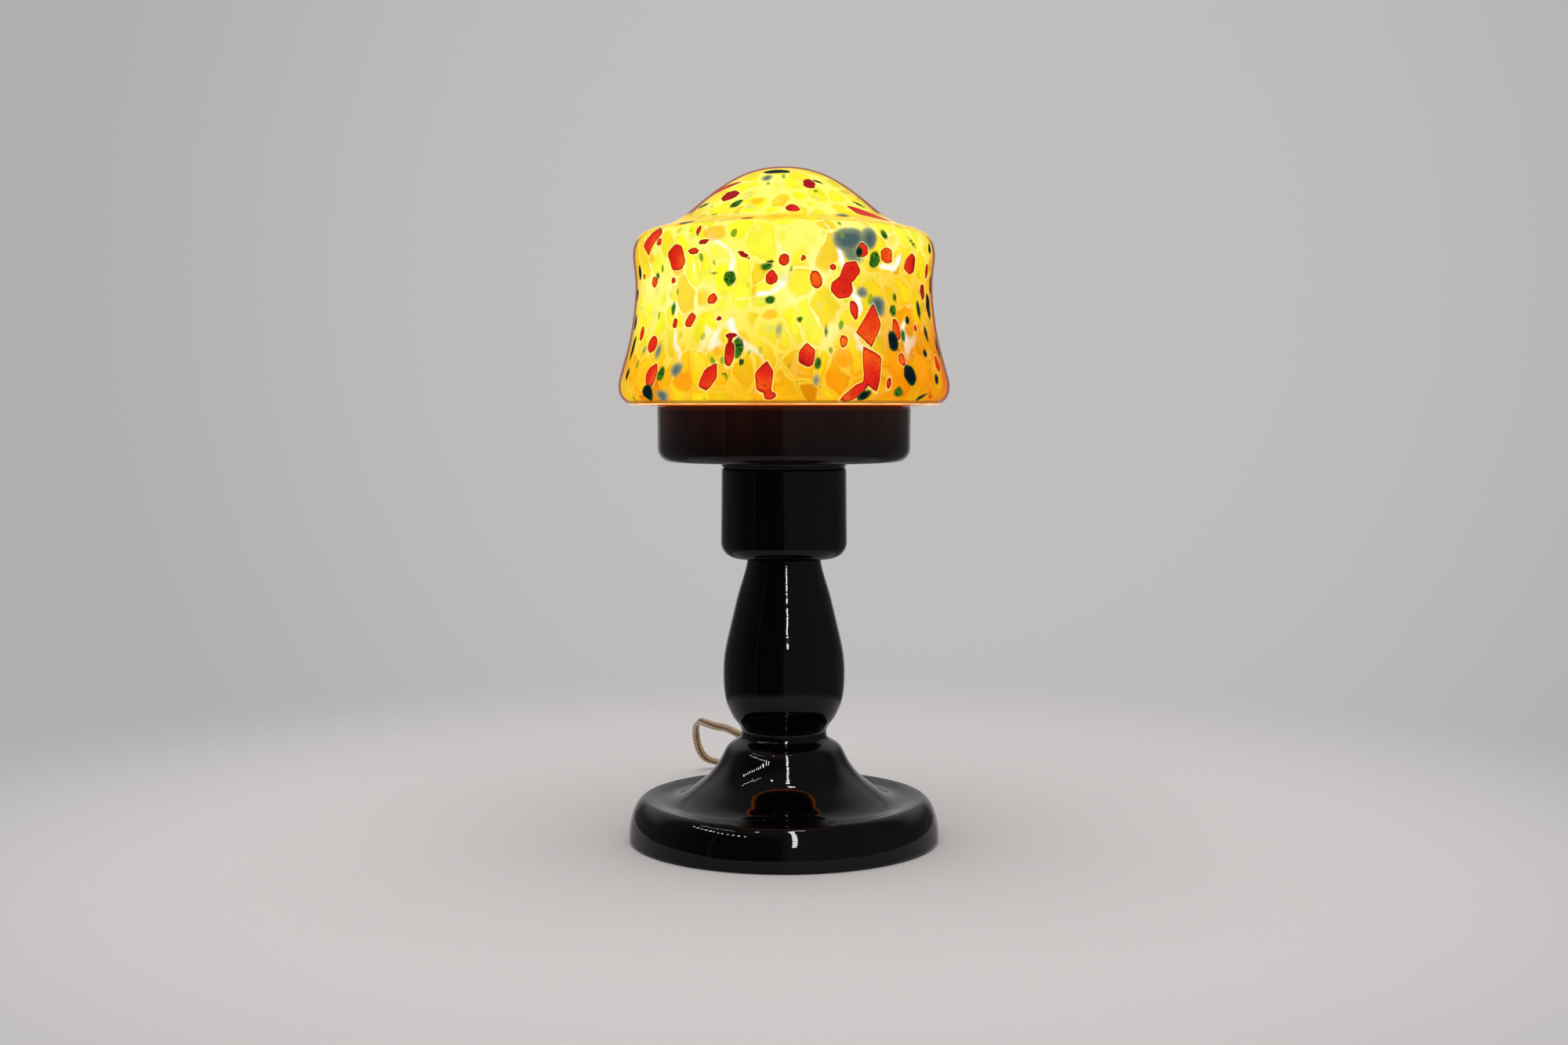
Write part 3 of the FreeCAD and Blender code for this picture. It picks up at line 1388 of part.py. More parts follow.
def plug_body():
    """A flat moulded body that widens from a round boot to the pins' face."""
    back = PLUG_BOOT_LENGTH
    front = back + PLUG_BODY_LENGTH
    widest = back + PLUG_BODY_LENGTH * PLUG_WIDEST_SHARE
    side = PLUG_WIDTH / 2
    under = -PLUG_THICKNESS / 2
    corners = [
        (Vector(back, -PLUG_BACK_WIDTH / 2, under), PLUG_BACK_ROUND),
        (Vector(back, PLUG_BACK_WIDTH / 2, under), PLUG_BACK_ROUND),
        (Vector(widest, side, under), PLUG_SIDE_ROUND),
        (Vector(front, side, under), PLUG_FRONT_ROUND),
        (Vector(front, -side, under), PLUG_FRONT_ROUND),
        (Vector(widest, -side, under), PLUG_SIDE_ROUND),
    ]
    body = Part.Face(Part.Wire(rounded(corners))).extrude(Vector(0, 0, PLUG_THICKNESS))
    level = []
    for edge in body.Edges:
        box = edge.BoundBox
        if box.ZLength < 1e-3 and box.XMin < front - 2.0:
            level.append(edge)
    body = body.makeFillet(PLUG_EDGE_ROUND, level)
    boot = Part.makeCone(
        cord_radius + PLUG_BOOT_WALL, PLUG_BOOT_RADIUS, back + 1.0, Vector(0, 0, 0), Vector(1, 0, 0)
    )
    sockets = []
    for side_sign in (-1, 1):
        start = Vector(front - PLUG_PIN_ROOT, side_sign * PLUG_PIN_SPACING / 2, 0)
        sockets.append(Part.makeCylinder(PLUG_PIN_RADIUS, PLUG_PIN_ROOT, start, Vector(1, 0, 0)))
    return body.fuse(boot).cut(sockets)


def along_pin(corners, side_sign):
    """A solid turned about a pin's axis, from (radius, place along +X, rounding) corners."""
    solid = turned(corners)
    solid.rotate(Vector(0, 0, 0), Vector(0, 1, 0), 90)
    solid.translate(Vector(0, side_sign * PLUG_PIN_SPACING / 2, 0))
    return solid


def plug_pins():
    """Brass pins, thinner under their sleeves, with rounded tips."""
    front = PLUG_BOOT_LENGTH + PLUG_BODY_LENGTH
    sleeve_end = front + PLUG_SLEEVE_LENGTH
    under_sleeve = PLUG_PIN_RADIUS - PLUG_SLEEVE_WALL
    corners = (
        (0, front - PLUG_PIN_ROOT, 0),
        (PLUG_PIN_RADIUS, front - PLUG_PIN_ROOT, 0),
        (PLUG_PIN_RADIUS, front, 0),
        (under_sleeve, front, 0),
        (under_sleeve, sleeve_end, 0),
        (PLUG_PIN_RADIUS, sleeve_end, 0),
        (PLUG_PIN_RADIUS, front + PLUG_PIN_LENGTH, 1.3),
        (0, front + PLUG_PIN_LENGTH, 0),
    )
    return Part.makeCompound([along_pin(corners, side_sign) for side_sign in (-1, 1)])


def plug_pin_sleeves():
    front = PLUG_BOOT_LENGTH + PLUG_BODY_LENGTH
    under_sleeve = PLUG_PIN_RADIUS - PLUG_SLEEVE_WALL
    corners = (
        (under_sleeve, front, 0),
        (PLUG_PIN_RADIUS, front, 0),
        (PLUG_PIN_RADIUS, front + PLUG_SLEEVE_LENGTH, 0),
        (under_sleeve, front + PLUG_SLEEVE_LENGTH, 0),
    )
    return Part.makeCompound([along_pin(corners, side_sign) for side_sign in (-1, 1)])


def on_plug(shape):
    return placed(shape, plug_entry, -90)


# The cord's free stretches; a point is a bend that was chosen by hand


def cord_lamp_to_switch():
    return cord_tube(
        "cord_lamp_to_switch",
        [
            cord_exit,
            Vector(0.0, 86.0, CORD_EXIT_HEIGHT),
            Vector(-17.0, 103.0, 42.0),
            Vector(-30.5, 118.0, 43.5),
            Vector(-39.0, 146.0, 43.4),
            Vector(-49.0, 167.0, 41.1),
            Vector(-65.2, 203.1, 41.0),
            Vector(-61.9, 223.5, 9.1),
            Vector(-45.1, 233.2, cord_radius),
            switch_entry - switch_way * 11.0,
            switch_entry,
        ],
    )


def cord_switch_to_coil():
    return cord_tube(
        "cord_switch_to_coil",
        [
            switch_leave,
            switch_leave + switch_way * 15.6,
            Vector(coil_start.x, 183.0, coil_start.z),
            coil_start,
        ],
    )


def cord_coil_to_plug():
    return cord_tube(
        "cord_coil_to_plug",
        [
            coil_end,
            Vector(-8.2, 195.1, coil_end.z),
            Vector(8.4, 195.1, 14.2),
            Vector(plug_entry.x, 183.4, plug_z),
            plug_entry,
        ],
    )


pieces = {
    "foot": foot(),
    "neck_gasket": neck_gasket(),
    "baluster": baluster(),
    "baluster_top_gasket": baluster_top_gasket(),
    "socket_cup": socket_cup(),
    "gallery_gasket": gallery_gasket(),
    "gallery_cup": gallery_cup(),
    "glass_shade": glass_shade(),
    "stem_tube": stem_tube(),
    "bottom_gasket": bottom_gasket(),
    "dished_washer": dished_washer(),
    "bottom_nut": bottom_nut(),
    "upper_gasket": upper_gasket(),
    "upper_washer": upper_washer(),
    "upper_nut": upper_nut(),
    "holder_cap": holder_cap(),
    "holder_grub_screw": holder_grub_screw(),
    "holder_shell": holder_shell(),
    "holder_insert": holder_insert(),
    "holder_terminals": holder_terminals(),
    "holder_screw_shell": holder_screw_shell(),
    "holder_centre_contact": holder_centre_contact(),
    "lower_clamp_ring": lower_clamp_ring(),
    "upper_clamp_ring": upper_clamp_ring(),
    "bulb_contact": bulb_contact(),
    "bulb_insulator": bulb_insulator(),
    "bulb_cap": bulb_cap(),
    "bulb_glass": bulb_glass(),
    "bulb_stem": bulb_stem(),
    "bulb_filaments": bulb_filaments(),
    "cord_strain_relief": cord_strain_relief(),
    "inner_lead": inner_lead(),
    "cord_lamp_to_switch": cord_lamp_to_switch(),
    "cord_switch_to_coil": cord_switch_to_coil(),
    "cord_coil": cord_coil(),
    "cord_coil_to_plug": cord_coil_to_plug(),
    "coil_tie": coil_tie(),
    "switch_lower_housing": on_switch(switch_lower_housing()),
    "switch_upper_housing": on_switch(switch_upper_housing()),
    "switch_rocker": on_switch(switch_rocker()),
    "switch_moving_contact": on_switch(switch_moving_contact()),
    "switch_rocker_pin": on_switch(switch_rocker_pin()),
    "switch_terminals": on_switch(switch_terminals()),
    "switch_screws": on_switch(switch_screws()),
    "plug_body": on_plug(plug_body()),
    "plug_pins": on_plug(plug_pins()),
    "plug_pin_sleeves": on_plug(plug_pin_sleeves()),
}

for name, shape in pieces.items():
    box = shape.BoundBox
    print(
        f"{name}: {len(shape.Solids)} solid, {shape.Volume:.0f} mm3, valid {shape.isValid()}, "
        f"z {box.ZMin:.1f} to {box.ZMax:.1f}"
    )
    shape.exportStep(f"parts/{name}.step")
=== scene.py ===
import json
import math
import random

import bpy
import numpy as np
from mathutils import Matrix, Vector


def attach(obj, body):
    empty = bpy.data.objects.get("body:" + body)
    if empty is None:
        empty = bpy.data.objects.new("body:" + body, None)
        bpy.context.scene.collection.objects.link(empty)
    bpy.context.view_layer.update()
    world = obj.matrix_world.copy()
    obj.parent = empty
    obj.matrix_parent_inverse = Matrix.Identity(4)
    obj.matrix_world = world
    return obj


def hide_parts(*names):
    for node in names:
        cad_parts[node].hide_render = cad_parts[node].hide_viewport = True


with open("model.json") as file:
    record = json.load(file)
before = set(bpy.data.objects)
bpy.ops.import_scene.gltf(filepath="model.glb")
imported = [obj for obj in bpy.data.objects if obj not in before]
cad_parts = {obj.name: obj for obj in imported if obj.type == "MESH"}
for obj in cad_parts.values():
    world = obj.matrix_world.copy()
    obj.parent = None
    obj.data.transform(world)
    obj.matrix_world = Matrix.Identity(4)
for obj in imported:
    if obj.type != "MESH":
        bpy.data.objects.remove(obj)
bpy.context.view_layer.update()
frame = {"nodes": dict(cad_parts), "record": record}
MM = 0.001

# Photograph: image size, focal length and horizon in pixels; the camera is level
PHOTO_WIDTH = 2000
PHOTO_HEIGHT = 1333
FOCAL_PIXELS = 2441
HORIZON_ROW = 524
CAMERA_HEIGHT = 0.2623
CAMERA_DISTANCE = 1.1751
SENSOR_WIDTH = 36.0

# Plain stage: the floor, the pale grey that it fades into, and the distances over which it fades
FLOOR_COLOUR = (0.70, 0.665, 0.66)
WALL_COLOUR = (0.43, 0.43, 0.44)
WALL_BRIGHT = (0.53, 0.518, 0.508)
WALL_BRIGHT_WAY = (0.07, 1.0, 0.07)
FLOOR_HALF_SIZE = 6.0
FLOOR_FADE = (0.30, 0.75)
GLOSS_FADE = (0.25, 0.36)
GLOSS_THIN = 0.45

# The room that the glass reflects: grey by azimuth, in degrees right of the front, and its ceiling
ROOM_GREYS = (
    (-180, 0.10), (-100, 0.10), (-75, 0.05), (-60, 0.04), (-58, 0.024), (-57, 0.12), (-55, 0.12),
    (-54, 0.026), (-3, 0.028), (3, 0.165), (75, 0.165), (110, 0.10), (180, 0.10),
)
CEILING = (0.15, 0.15, 0.152)
AMBIENT = (0.45, 0.45, 0.455)

# How far up or back a direction points where the ceiling, the wall and its upper part begin and are whole
CEILING_UP = (0.55, 0.90)
WALL_BACK = (0.84, 0.98)
HIGH_WALL_BACK = (0.25, 0.60)
HIGH_WALL_UP = (0.15, 0.45)


# Node helpers


def put(tree, socket, value):
    """Links a socket or writes a value into it; colours are written as red, green and blue."""
    if isinstance(value, bpy.types.NodeSocket):
        tree.links.new(value, socket)
    elif socket.type == "RGBA":
        socket.default_value = (*value, 1.0)
    else:
        socket.default_value = value


def add(tree, kind, inputs=(), **settings):
    """Adds a node, sets its properties, and links or fills its inputs."""
    node = tree.nodes.new(kind)
    for name, value in settings.items():
        setattr(node, name, value)
    for name, value in dict(inputs).items():
        put(tree, node.inputs[name], value)
    return node


def calc(tree, operation, a, b=0.0, c=0.0):
    return add(tree, "ShaderNodeMath", {0: a, 1: b, 2: c}, operation=operation).outputs[0]


def times(tree, a, b):
    return calc(tree, "MULTIPLY", a, b)


def vector_calc(tree, operation, a, b=(0.0, 0.0, 0.0), output=0, **inputs):
    return add(tree, "ShaderNodeVectorMath", {0: a, 1: b, **inputs}, operation=operation).outputs[output]


def step(tree, value, low, high, to_low=0.0, to_high=1.0):
    """A smooth rise from to_low to to_high as value goes from low to high."""
    inputs = {"Value": value, "From Min": low, "From Max": high, "To Min": to_low, "To Max": to_high}
    return add(tree, "ShaderNodeMapRange", inputs, interpolation_type="SMOOTHSTEP").outputs["Result"]


def mixed(tree, factor, a, b, blend="MIX"):
    node = add(tree, "ShaderNodeMix", {0: factor, 6: a, 7: b}, data_type="RGBA", blend_type=blend)
    return node.outputs[2]


def tinted(tree, colour, tint):
    return mixed(tree, 1.0, colour, tint, "MULTIPLY")


def noise(tree, coordinates, scale, detail=2.0, roughness=0.5, output="Fac"):
    inputs = {"Vector": coordinates, "Scale": scale, "Detail": detail, "Roughness": roughness}
    return add(tree, "ShaderNodeTexNoise", inputs).outputs[output]


def ramp(tree, factor, stops):
    node = add(tree, "ShaderNodeValToRGB", {"Fac": factor})
    elements = node.color_ramp.elements
    for spot, _ in stops[2:]:
        elements.new(spot)
    for element, (spot, colour) in zip(elements, stops):
        element.position = spot
        element.color = (*colour, 1.0)
    return node.outputs["Color"]


def place(tree):
    """Coordinates fixed to the piece, in metres."""
    return add(tree, "ShaderNodeTexCoord").outputs["Object"]


def parts(tree, vector):
    """The parts of a vector along X, Y and Z."""
    return add(tree, "ShaderNodeSeparateXYZ", {"Vector": vector}).outputs


def stretched(tree, coordinates, height_scale):
    """Coordinates whose height is scaled, so that a pattern in them stands tall or lies flat."""
    inputs = {"Vector": coordinates, "Scale": (1.0, 1.0, height_scale)}
    return add(tree, "ShaderNodeMapping", inputs).outputs["Vector"]


def painted(tree, name):
    return add(tree, "ShaderNodeAttribute", attribute_name=name).outputs["Fac"]


def bump(tree, height, distance, strength=1.0, normal=None):
    inputs = {"Height": height, "Distance": distance, "Strength": strength}
    if normal is not None:
        inputs["Normal"] = normal
    return add(tree, "ShaderNodeBump", inputs).outputs["Normal"]


def feed(tree, shader, **values):
    for label, value in values.items():
        put(tree, shader.inputs[label.replace("_", " ")], value)


def material(name, roughness, base=(0.5, 0.5, 0.5), metallic=0.0, **more):
    """A new material, its node tree and its shader node, with plain values set on the shader."""
    made = bpy.data.materials.new(name)
    made.use_nodes = True
    tree = made.node_tree
    shader = tree.nodes["Principled BSDF"]
    feed(tree, shader, Base_Color=base, Roughness=roughness, Metallic=metallic, **more)
    return made, tree, shader


# Black glass: almost no colour of its own, a fire-polished skin with faint ripples and dust

DUST_SCALE = 900.0
DUST = (0.05, 0.05, 0.05)
BLACK_TINTS = ((0.35, (0.0010, 0.0009, 0.0010)), (0.70, (0.0022, 0.0017, 0.0018)))
CUP_SKIN = (0.004, 0.0026, 0.0024)
CUP_DUST = (0.05, 0.045, 0.045)
# Painted glow of the cup, for the shade's light coming through it: colour and heights, then the same at its
# lip
CUP_GLOW = (0.012, 0.0024, 0.0014)
CUP_GLOW_HEIGHTS = (0.236, 0.262)
CUP_LIP_GLOW = (0.045, 0.008, 0.003)
CUP_LIP_GLOW_HEIGHTS = (0.2618, 0.2648)


def dusty(tree, coordinates, clean, dust_colour):
    """The colour and roughness of glass with specks of dust on it."""
    specks = step(tree, noise(tree, coordinates, DUST_SCALE, 3.0, 0.7), 0.72, 0.80)
    return mixed(tree, specks, clean, dust_colour), calc(tree, "MULTIPLY_ADD", specks, 0.25, 0.025)


def black_glass():
    made, tree, shader = material("black_glass", 0.03, IOR=1.4)
    coordinates = place(tree)
    ripple = noise(tree, coordinates, 28.0, 1.0)
    orange_peel = noise(tree, coordinates, 260.0, 1.0)
    body = ramp(tree, noise(tree, coordinates, 35.0), BLACK_TINTS)
    colour, rough = dusty(tree, coordinates, body, DUST)
    normal = bump(tree, orange_peel, 0.00003, 1.0, bump(tree, ripple, 0.0004))
    feed(tree, shader, Base_Color=colour, Roughness=rough, Normal=normal)
    return made


def cup_glass():
    """Black glass with a painted glow for the shade's light coming through it, dark red-brown and strongest
    at its lip.
    """
    made, tree, shader = material("cup_glass", 0.03, IOR=1.4, Emission_Strength=1.0)
    coordinates = place(tree)
    height = parts(tree, coordinates)["Z"]
    ripple = noise(tree, coordinates, 24.0, 1.0)
    streaks = noise(tree, stretched(tree, coordinates, 0.15), 60.0, 3.0)
    streak = step(tree, streaks, 0.35, 0.70, 0.35, 1.0)
    # Painted glow: emission in streaks, rising with height and strongest at the lip
    body = step(tree, height, *CUP_GLOW_HEIGHTS, 0.10, 1.0)
    through = mixed(tree, times(tree, body, streak), (0.0, 0.0, 0.0), CUP_GLOW)
    glow = mixed(tree, step(tree, height, *CUP_LIP_GLOW_HEIGHTS), through, CUP_LIP_GLOW)
    colour, rough = dusty(tree, coordinates, CUP_SKIN, CUP_DUST)
    normal = bump(tree, ripple, 0.0005)
    feed(tree, shader, Base_Color=colour, Roughness=rough, Normal=normal, Emission_Color=glow)
    return made


# Spatter glass: melted yellow chips with pale veins between them, and coloured chips on top

# Cells of the pattern: how many in a metre, the share of that in height, and how far pebbles wander
PEBBLE_SCALE = 74.0
PEBBLE_TALL = 0.68
PEBBLE_DRIFT = 0.016
FLECK_SCALE = 150.0

# Where each change begins and ends, in metres: heights, distances to the right and from the axis
VEIN_HEIGHTS = (0.265, 0.412)
BULB_FROM = (0.280, 0.315)
BULB_UP_TO = (0.380, 0.350)
ORANGE_REACH = (0.010, 0.070)
ORANGE_UP_TO = (0.365, 0.335)
AMBERS_UP_TO = (0.318, 0.278)
LOWER_RIGHT_REACH = (0.015, 0.075)
LOWER_RIGHT_UP_TO = (0.335, 0.295)
SHOULDER_FROM = (0.363, 0.369)
SHOULDER_UP_TO = (0.383, 0.378)
RIM_SHADE_UP_TO = (0.2690, 0.2674)
SEAT_LIGHT_LINE_UP_TO = (0.2669, 0.2664)
UNDERSIDE_UP_TO = (0.2662, 0.2659)
UNDERSIDE_GLOW_FROM = (0.0870, 0.0895)

# Colours of the veins from the rim up, of the pebbles by chance, and of the rest
VEINS = (
    (0.0, (0.95, 0.50, 0.012)), (0.08, (0.97, 0.70, 0.05)), (0.35, (0.98, 0.90, 0.15)),
    (0.65, (0.98, 0.91, 0.13)), (1.0, (0.97, 0.92, 0.17)),
)
YELLOWS = (
    (0.0, (0.96, 0.93, 0.045)), (0.45, (0.96, 0.93, 0.010)),
    (0.80, (0.96, 0.80, 0.008)), (1.0, (0.95, 0.62, 0.006)),
)
AMBERS = (
    (0.0, (0.97, 0.74, 0.012)), (0.45, (0.97, 0.58, 0.010)),
    (0.85, (0.95, 0.42, 0.003)), (1.0, (0.74, 0.22, 0.001)),
)
VEIN_BULB_LIGHT = (1.0, 1.0, 0.36)
VEIN_SIDE = (0.97, 0.55, 0.015)
PEBBLE_EDGE = (0.98, 0.68, 0.50)
CREASE = (0.5, 0.2, 0.01)
LOWER_RIGHT_TINT = (0.86, 0.53, 0.27)
LIT_STREAK = (1.0, 1.0, 0.88)
SMUDGE = (0.70, 0.66, 0.18)
AMBER_HIGH = (1.0, 0.50, 0.006)
AMBER_LOW = (0.93, 0.30, 0.004)
CLOUD_THIN = (0.24, 0.29, 0.17)
CLOUD_DEEP = (0.020, 0.078, 0.115)
FLECK = (0.16, 0.32, 0.006)
GREEN_DARK = (0.006, 0.045, 0.006)
GREEN_LIGHT = (0.05, 0.20, 0.010)
RED_EDGE = (0.24, 0.004, 0.006)
RED = (0.74, 0.022, 0.010)
RED_DARK = (0.36, 0.008, 0.008)
RED_MELT = (1.0, 0.17, 0.004)
HALO = (1.0, 0.95, 0.34)
INK_EDGE = (0.02, 0.06, 0.012)
INK = (0.003, 0.009, 0.012)
LIMB_SHADE = (0.86, 0.64, 0.30)
OUTLINE_SHADE = (0.20, 0.030, 0.003)
RIM_SHADE = (0.30, 0.10, 0.008)
SEAT_LIGHT_LINE = (1.0, 0.72, 0.26)
UNDERSIDE_GLOW = (1.8, 0.28, 0.02)
UNDERSIDE_SHADE = (0.06, 0.008, 0.002)
SKIN = (0.10, 0.10, 0.10)


def field(tree, name, warp, reach):
    """A painted distance to the nearest chip of a kind, in millimetres, with an uneven edge."""
    return calc(tree, "MULTIPLY_ADD", warp, reach, calc(tree, "ADD", painted(tree, name), -reach / 2))


def band(tree, value, full, none):
    """A thin line where a noise is near its middle: one up to full away from it, nothing from none on."""
    return step(tree, calc(tree, "ABSOLUTE", calc(tree, "ADD", value, -0.5)), none, full)


def drifted(tree, coordinates):
    """Coordinates that wander, and in which cells stand tall."""
    drift = noise(tree, coordinates, 30.0, output="Color")
    bend = vector_calc(tree, "SUBTRACT", drift, (0.5, 0.5, 0.5))
    push = vector_calc(tree, "SCALE", bend, Scale=PEBBLE_DRIFT)
    return stretched(tree, vector_calc(tree, "ADD", coordinates, push), PEBBLE_TALL)


def spatter_glass():
    """Lit from inside: veins, pebbles and streaks first, then chips of each kind, and last the painted shade
    and light at the edges.
    """
    made, tree, shader = material("spatter_glass", 0.06, IOR=1.08, Emission_Strength=1.0)
    coordinates = place(tree)
    across, _, height = parts(tree, coordinates)
    limb = add(tree, "ShaderNodeLayerWeight", {"Blend": 0.5}).outputs["Facing"]
    tall = drifted(tree, coordinates)
    warp = noise(tree, coordinates, 190.0)
    soft = noise(tree, coordinates, 55.0, 3.0)
    broad = noise(tree, coordinates, 22.0)

    cell = {"Vector": tall, "Scale": PEBBLE_SCALE, "Randomness": 0.95}
    cells = add(tree, "ShaderNodeTexVoronoi", cell).outputs
    edges = add(tree, "ShaderNodeTexVoronoi", cell, feature="DISTANCE_TO_EDGE").outputs["Distance"]
    small = add(tree, "ShaderNodeTexVoronoi", {"Vector": tall, "Scale": FLECK_SCALE}).outputs
    chance = add(tree, "ShaderNodeSeparateColor", {"Color": cells["Color"]}).outputs
    small_chance = add(tree, "ShaderNodeSeparateColor", {"Color": small["Color"]}).outputs

    # Veins, with painted light brightest beside the bulb, and orange to the right
    veins = ramp(tree, step(tree, height, *VEIN_HEIGHTS), VEINS)
    near_bulb = times(tree, step(tree, height, *BULB_FROM), step(tree, height, *BULB_UP_TO))
    bulb_light = times(tree, near_bulb, step(tree, broad, 0.50, 0.66))
    veins = mixed(tree, bulb_light, veins, VEIN_BULB_LIGHT)
    side = times(tree, step(tree, across, *ORANGE_REACH, 0.0, 0.75), step(tree, height, *ORANGE_UP_TO))
    veins = mixed(tree, side, veins, VEIN_SIDE)

    # Pebbles, yellow above and amber below, darker towards their edges
    lower = calc(tree, "MAXIMUM", step(tree, height, *AMBERS_UP_TO), side)
    yellows = ramp(tree, chance["Red"], YELLOWS)
    ambers = ramp(tree, chance["Green"], AMBERS)
    pebbles = mixed(tree, lower, yellows, ambers)
    pebbles = tinted(tree, pebbles, step(tree, soft, 0.30, 0.72, 1.05, 0.86))
    dark_edge = times(tree, step(tree, edges, 0.17, 0.05), step(tree, lower, 0.0, 1.0, 0.35, 0.85))
    pebbles = mixed(tree, dark_edge, pebbles, tinted(tree, pebbles, PEBBLE_EDGE))

    least_size = step(tree, lower, 0.0, 1.0, 0.52, 0.80)
    size = calc(tree, "MULTIPLY_ADD", chance["Blue"], 0.20, least_size)
    round_off = step(tree, calc(tree, "DIVIDE", cells["Distance"], size), 1.15, 0.80)
    gap = step(tree, soft, 0.38, 0.62, 0.01, 0.09)
    set_apart = step(tree, calc(tree, "DIVIDE", edges, gap), 0.5, 1.6)
    strength = step(tree, lower, 0.0, 1.0, 0.90, 1.0)
    ground = mixed(tree, times(tree, times(tree, round_off, set_apart), strength), veins, pebbles)

    # Creases low down, darker towards the lower right, white streaks and olive smudges
    crease = times(tree, step(tree, edges, 0.035, 0.010), step(tree, soft, 0.56, 0.64))
    ground = mixed(tree, times(tree, crease, times(tree, lower, 0.5)), ground, CREASE)
    lower_right = times(tree, step(tree, across, *LOWER_RIGHT_REACH), step(tree, height, *LOWER_RIGHT_UP_TO))
    ground = mixed(tree, lower_right, ground, tinted(tree, ground, LOWER_RIGHT_TINT))
    # White streaks on ridges in the glass, shown only near the bulb and away from the edges: partly painted
    # light from the bulb
    ridge = band(tree, noise(tree, tall, 24.0, 1.0), 0.006, 0.028)
    streak = times(tree, times(tree, ridge, near_bulb), step(tree, soft, 0.42, 0.56))
    ground = mixed(tree, times(tree, streak, step(tree, limb, 0.55, 0.35)), ground, LIT_STREAK)
    smudges = step(tree, noise(tree, coordinates, 125.0), 0.60, 0.70)
    ground = mixed(tree, times(tree, smudges, step(tree, lower, 0.0, 1.0, 0.45, 0.15)), ground, SMUDGE)

    # Amber chips, blue-grey clouds and green flecks
    amber = step(tree, field(tree, "amber", soft, 3.0), 0.9, -1.0)
    ground = mixed(tree, times(tree, amber, 0.8), ground, mixed(tree, lower, AMBER_HIGH, AMBER_LOW))
    cloud_distance = field(tree, "cloud", soft, 3.0)
    cloud = step(tree, cloud_distance, 1.4, -1.6)
    deep_cloud = step(tree, calc(tree, "MULTIPLY_ADD", soft, 8.0, cloud_distance), 5.0, -1.0)
    ground = mixed(tree, times(tree, cloud, 0.95), ground, mixed(tree, deep_cloud, CLOUD_THIN, CLOUD_DEEP))
    fleck = step(tree, small["Distance"], 0.30, 0.20)
    some = step(tree, small_chance["Red"], 0.80, 0.96, 0.0, 0.9)
    ground = mixed(tree, times(tree, fleck, some), ground, FLECK)

    # Green chips, grainy inside
    green = step(tree, field(tree, "green", warp, 1.8), 0.45, -0.9)
    grain = noise(tree, coordinates, 700.0)
    ground = mixed(tree, green, ground, mixed(tree, step(tree, grain, 0.35, 0.65), GREEN_DARK, GREEN_LIGHT))

    # Red chips, pale round them, dark at the edge and melted or folded inside
    red_distance = field(tree, "red", warp, 0.9)
    halo = times(tree, step(tree, red_distance, 0.9, 0.4), step(tree, red_distance, 0.0, 0.4))
    ground = mixed(tree, times(tree, halo, 0.5), ground, HALO)
    red = mixed(tree, step(tree, red_distance, -0.10, -0.75), RED_EDGE, RED)
    melt = times(tree, step(tree, broad, 0.50, 0.68), step(tree, red_distance, -0.2, -1.2))
    red = mixed(tree, melt, red, RED_MELT)
    red = mixed(tree, step(tree, broad, 0.50, 0.42), red, RED_DARK)
    red = mixed(tree, times(tree, band(tree, warp, 0.004, 0.016), 0.55), red, RED_EDGE)
    ground = mixed(tree, step(tree, red_distance, 0.12, -0.12), ground, red)

    # Black chips, green at the edge
    ink_distance = field(tree, "ink", warp, 1.6)
    ink = mixed(tree, step(tree, ink_distance, -0.2, -1.6), INK_EDGE, INK)
    ground = mixed(tree, step(tree, ink_distance, 0.35, -0.35), ground, ink)

    # Painted shade: deeper colour where the wall is seen edge-on, and a dark outline except on the shoulder
    ground = mixed(tree, step(tree, limb, 0.60, 0.86), ground, tinted(tree, ground, LIMB_SHADE))
    shoulder = times(tree, step(tree, height, *SHOULDER_FROM), step(tree, height, *SHOULDER_UP_TO))
    outline = times(tree, step(tree, limb, 0.79, 0.86), calc(tree, "SUBTRACT", 1.0, shoulder))
    ground = mixed(tree, outline, ground, OUTLINE_SHADE)

    # Painted shade at the rim, a painted line of light at the seat, and the underside's painted glow, with
    # painted shade where it lies over the cup
    ground = mixed(tree, times(tree, step(tree, height, *RIM_SHADE_UP_TO), 0.8), ground, RIM_SHADE)
    uneven = step(tree, soft, 0.38, 0.58, 0.45, 1.0)
    ground = mixed(tree, times(tree, step(tree, height, *SEAT_LIGHT_LINE_UP_TO), uneven), ground, SEAT_LIGHT_LINE)
    flat = vector_calc(tree, "MULTIPLY", coordinates, (1.0, 1.0, 0.0))
    radius = vector_calc(tree, "LENGTH", flat, output="Value")
    underside_light = mixed(tree, step(tree, radius, *UNDERSIDE_GLOW_FROM), UNDERSIDE_SHADE, UNDERSIDE_GLOW)
    ground = mixed(tree, step(tree, height, *UNDERSIDE_UP_TO), ground, underside_light)

    lumps = step(tree, edges, 0.0, 0.12)
    normal = bump(tree, lumps, 0.00015, 1.0, bump(tree, broad, 0.0012))
    feed(tree, shader, Base_Color=tinted(tree, ground, SKIN), Emission_Color=ground, Normal=normal)
    return made


# Small parts

BULB_GLOW_HEIGHTS = (0.258, 0.300)
BULB_NECK = (0.75, 0.48, 0.20)
BULB_BRIGHT = (1.0, 0.86, 0.60)
HOT_WIRE = ((0.3, (1.0, 0.62, 0.20)), (0.7, (1.0, 0.78, 0.36)))


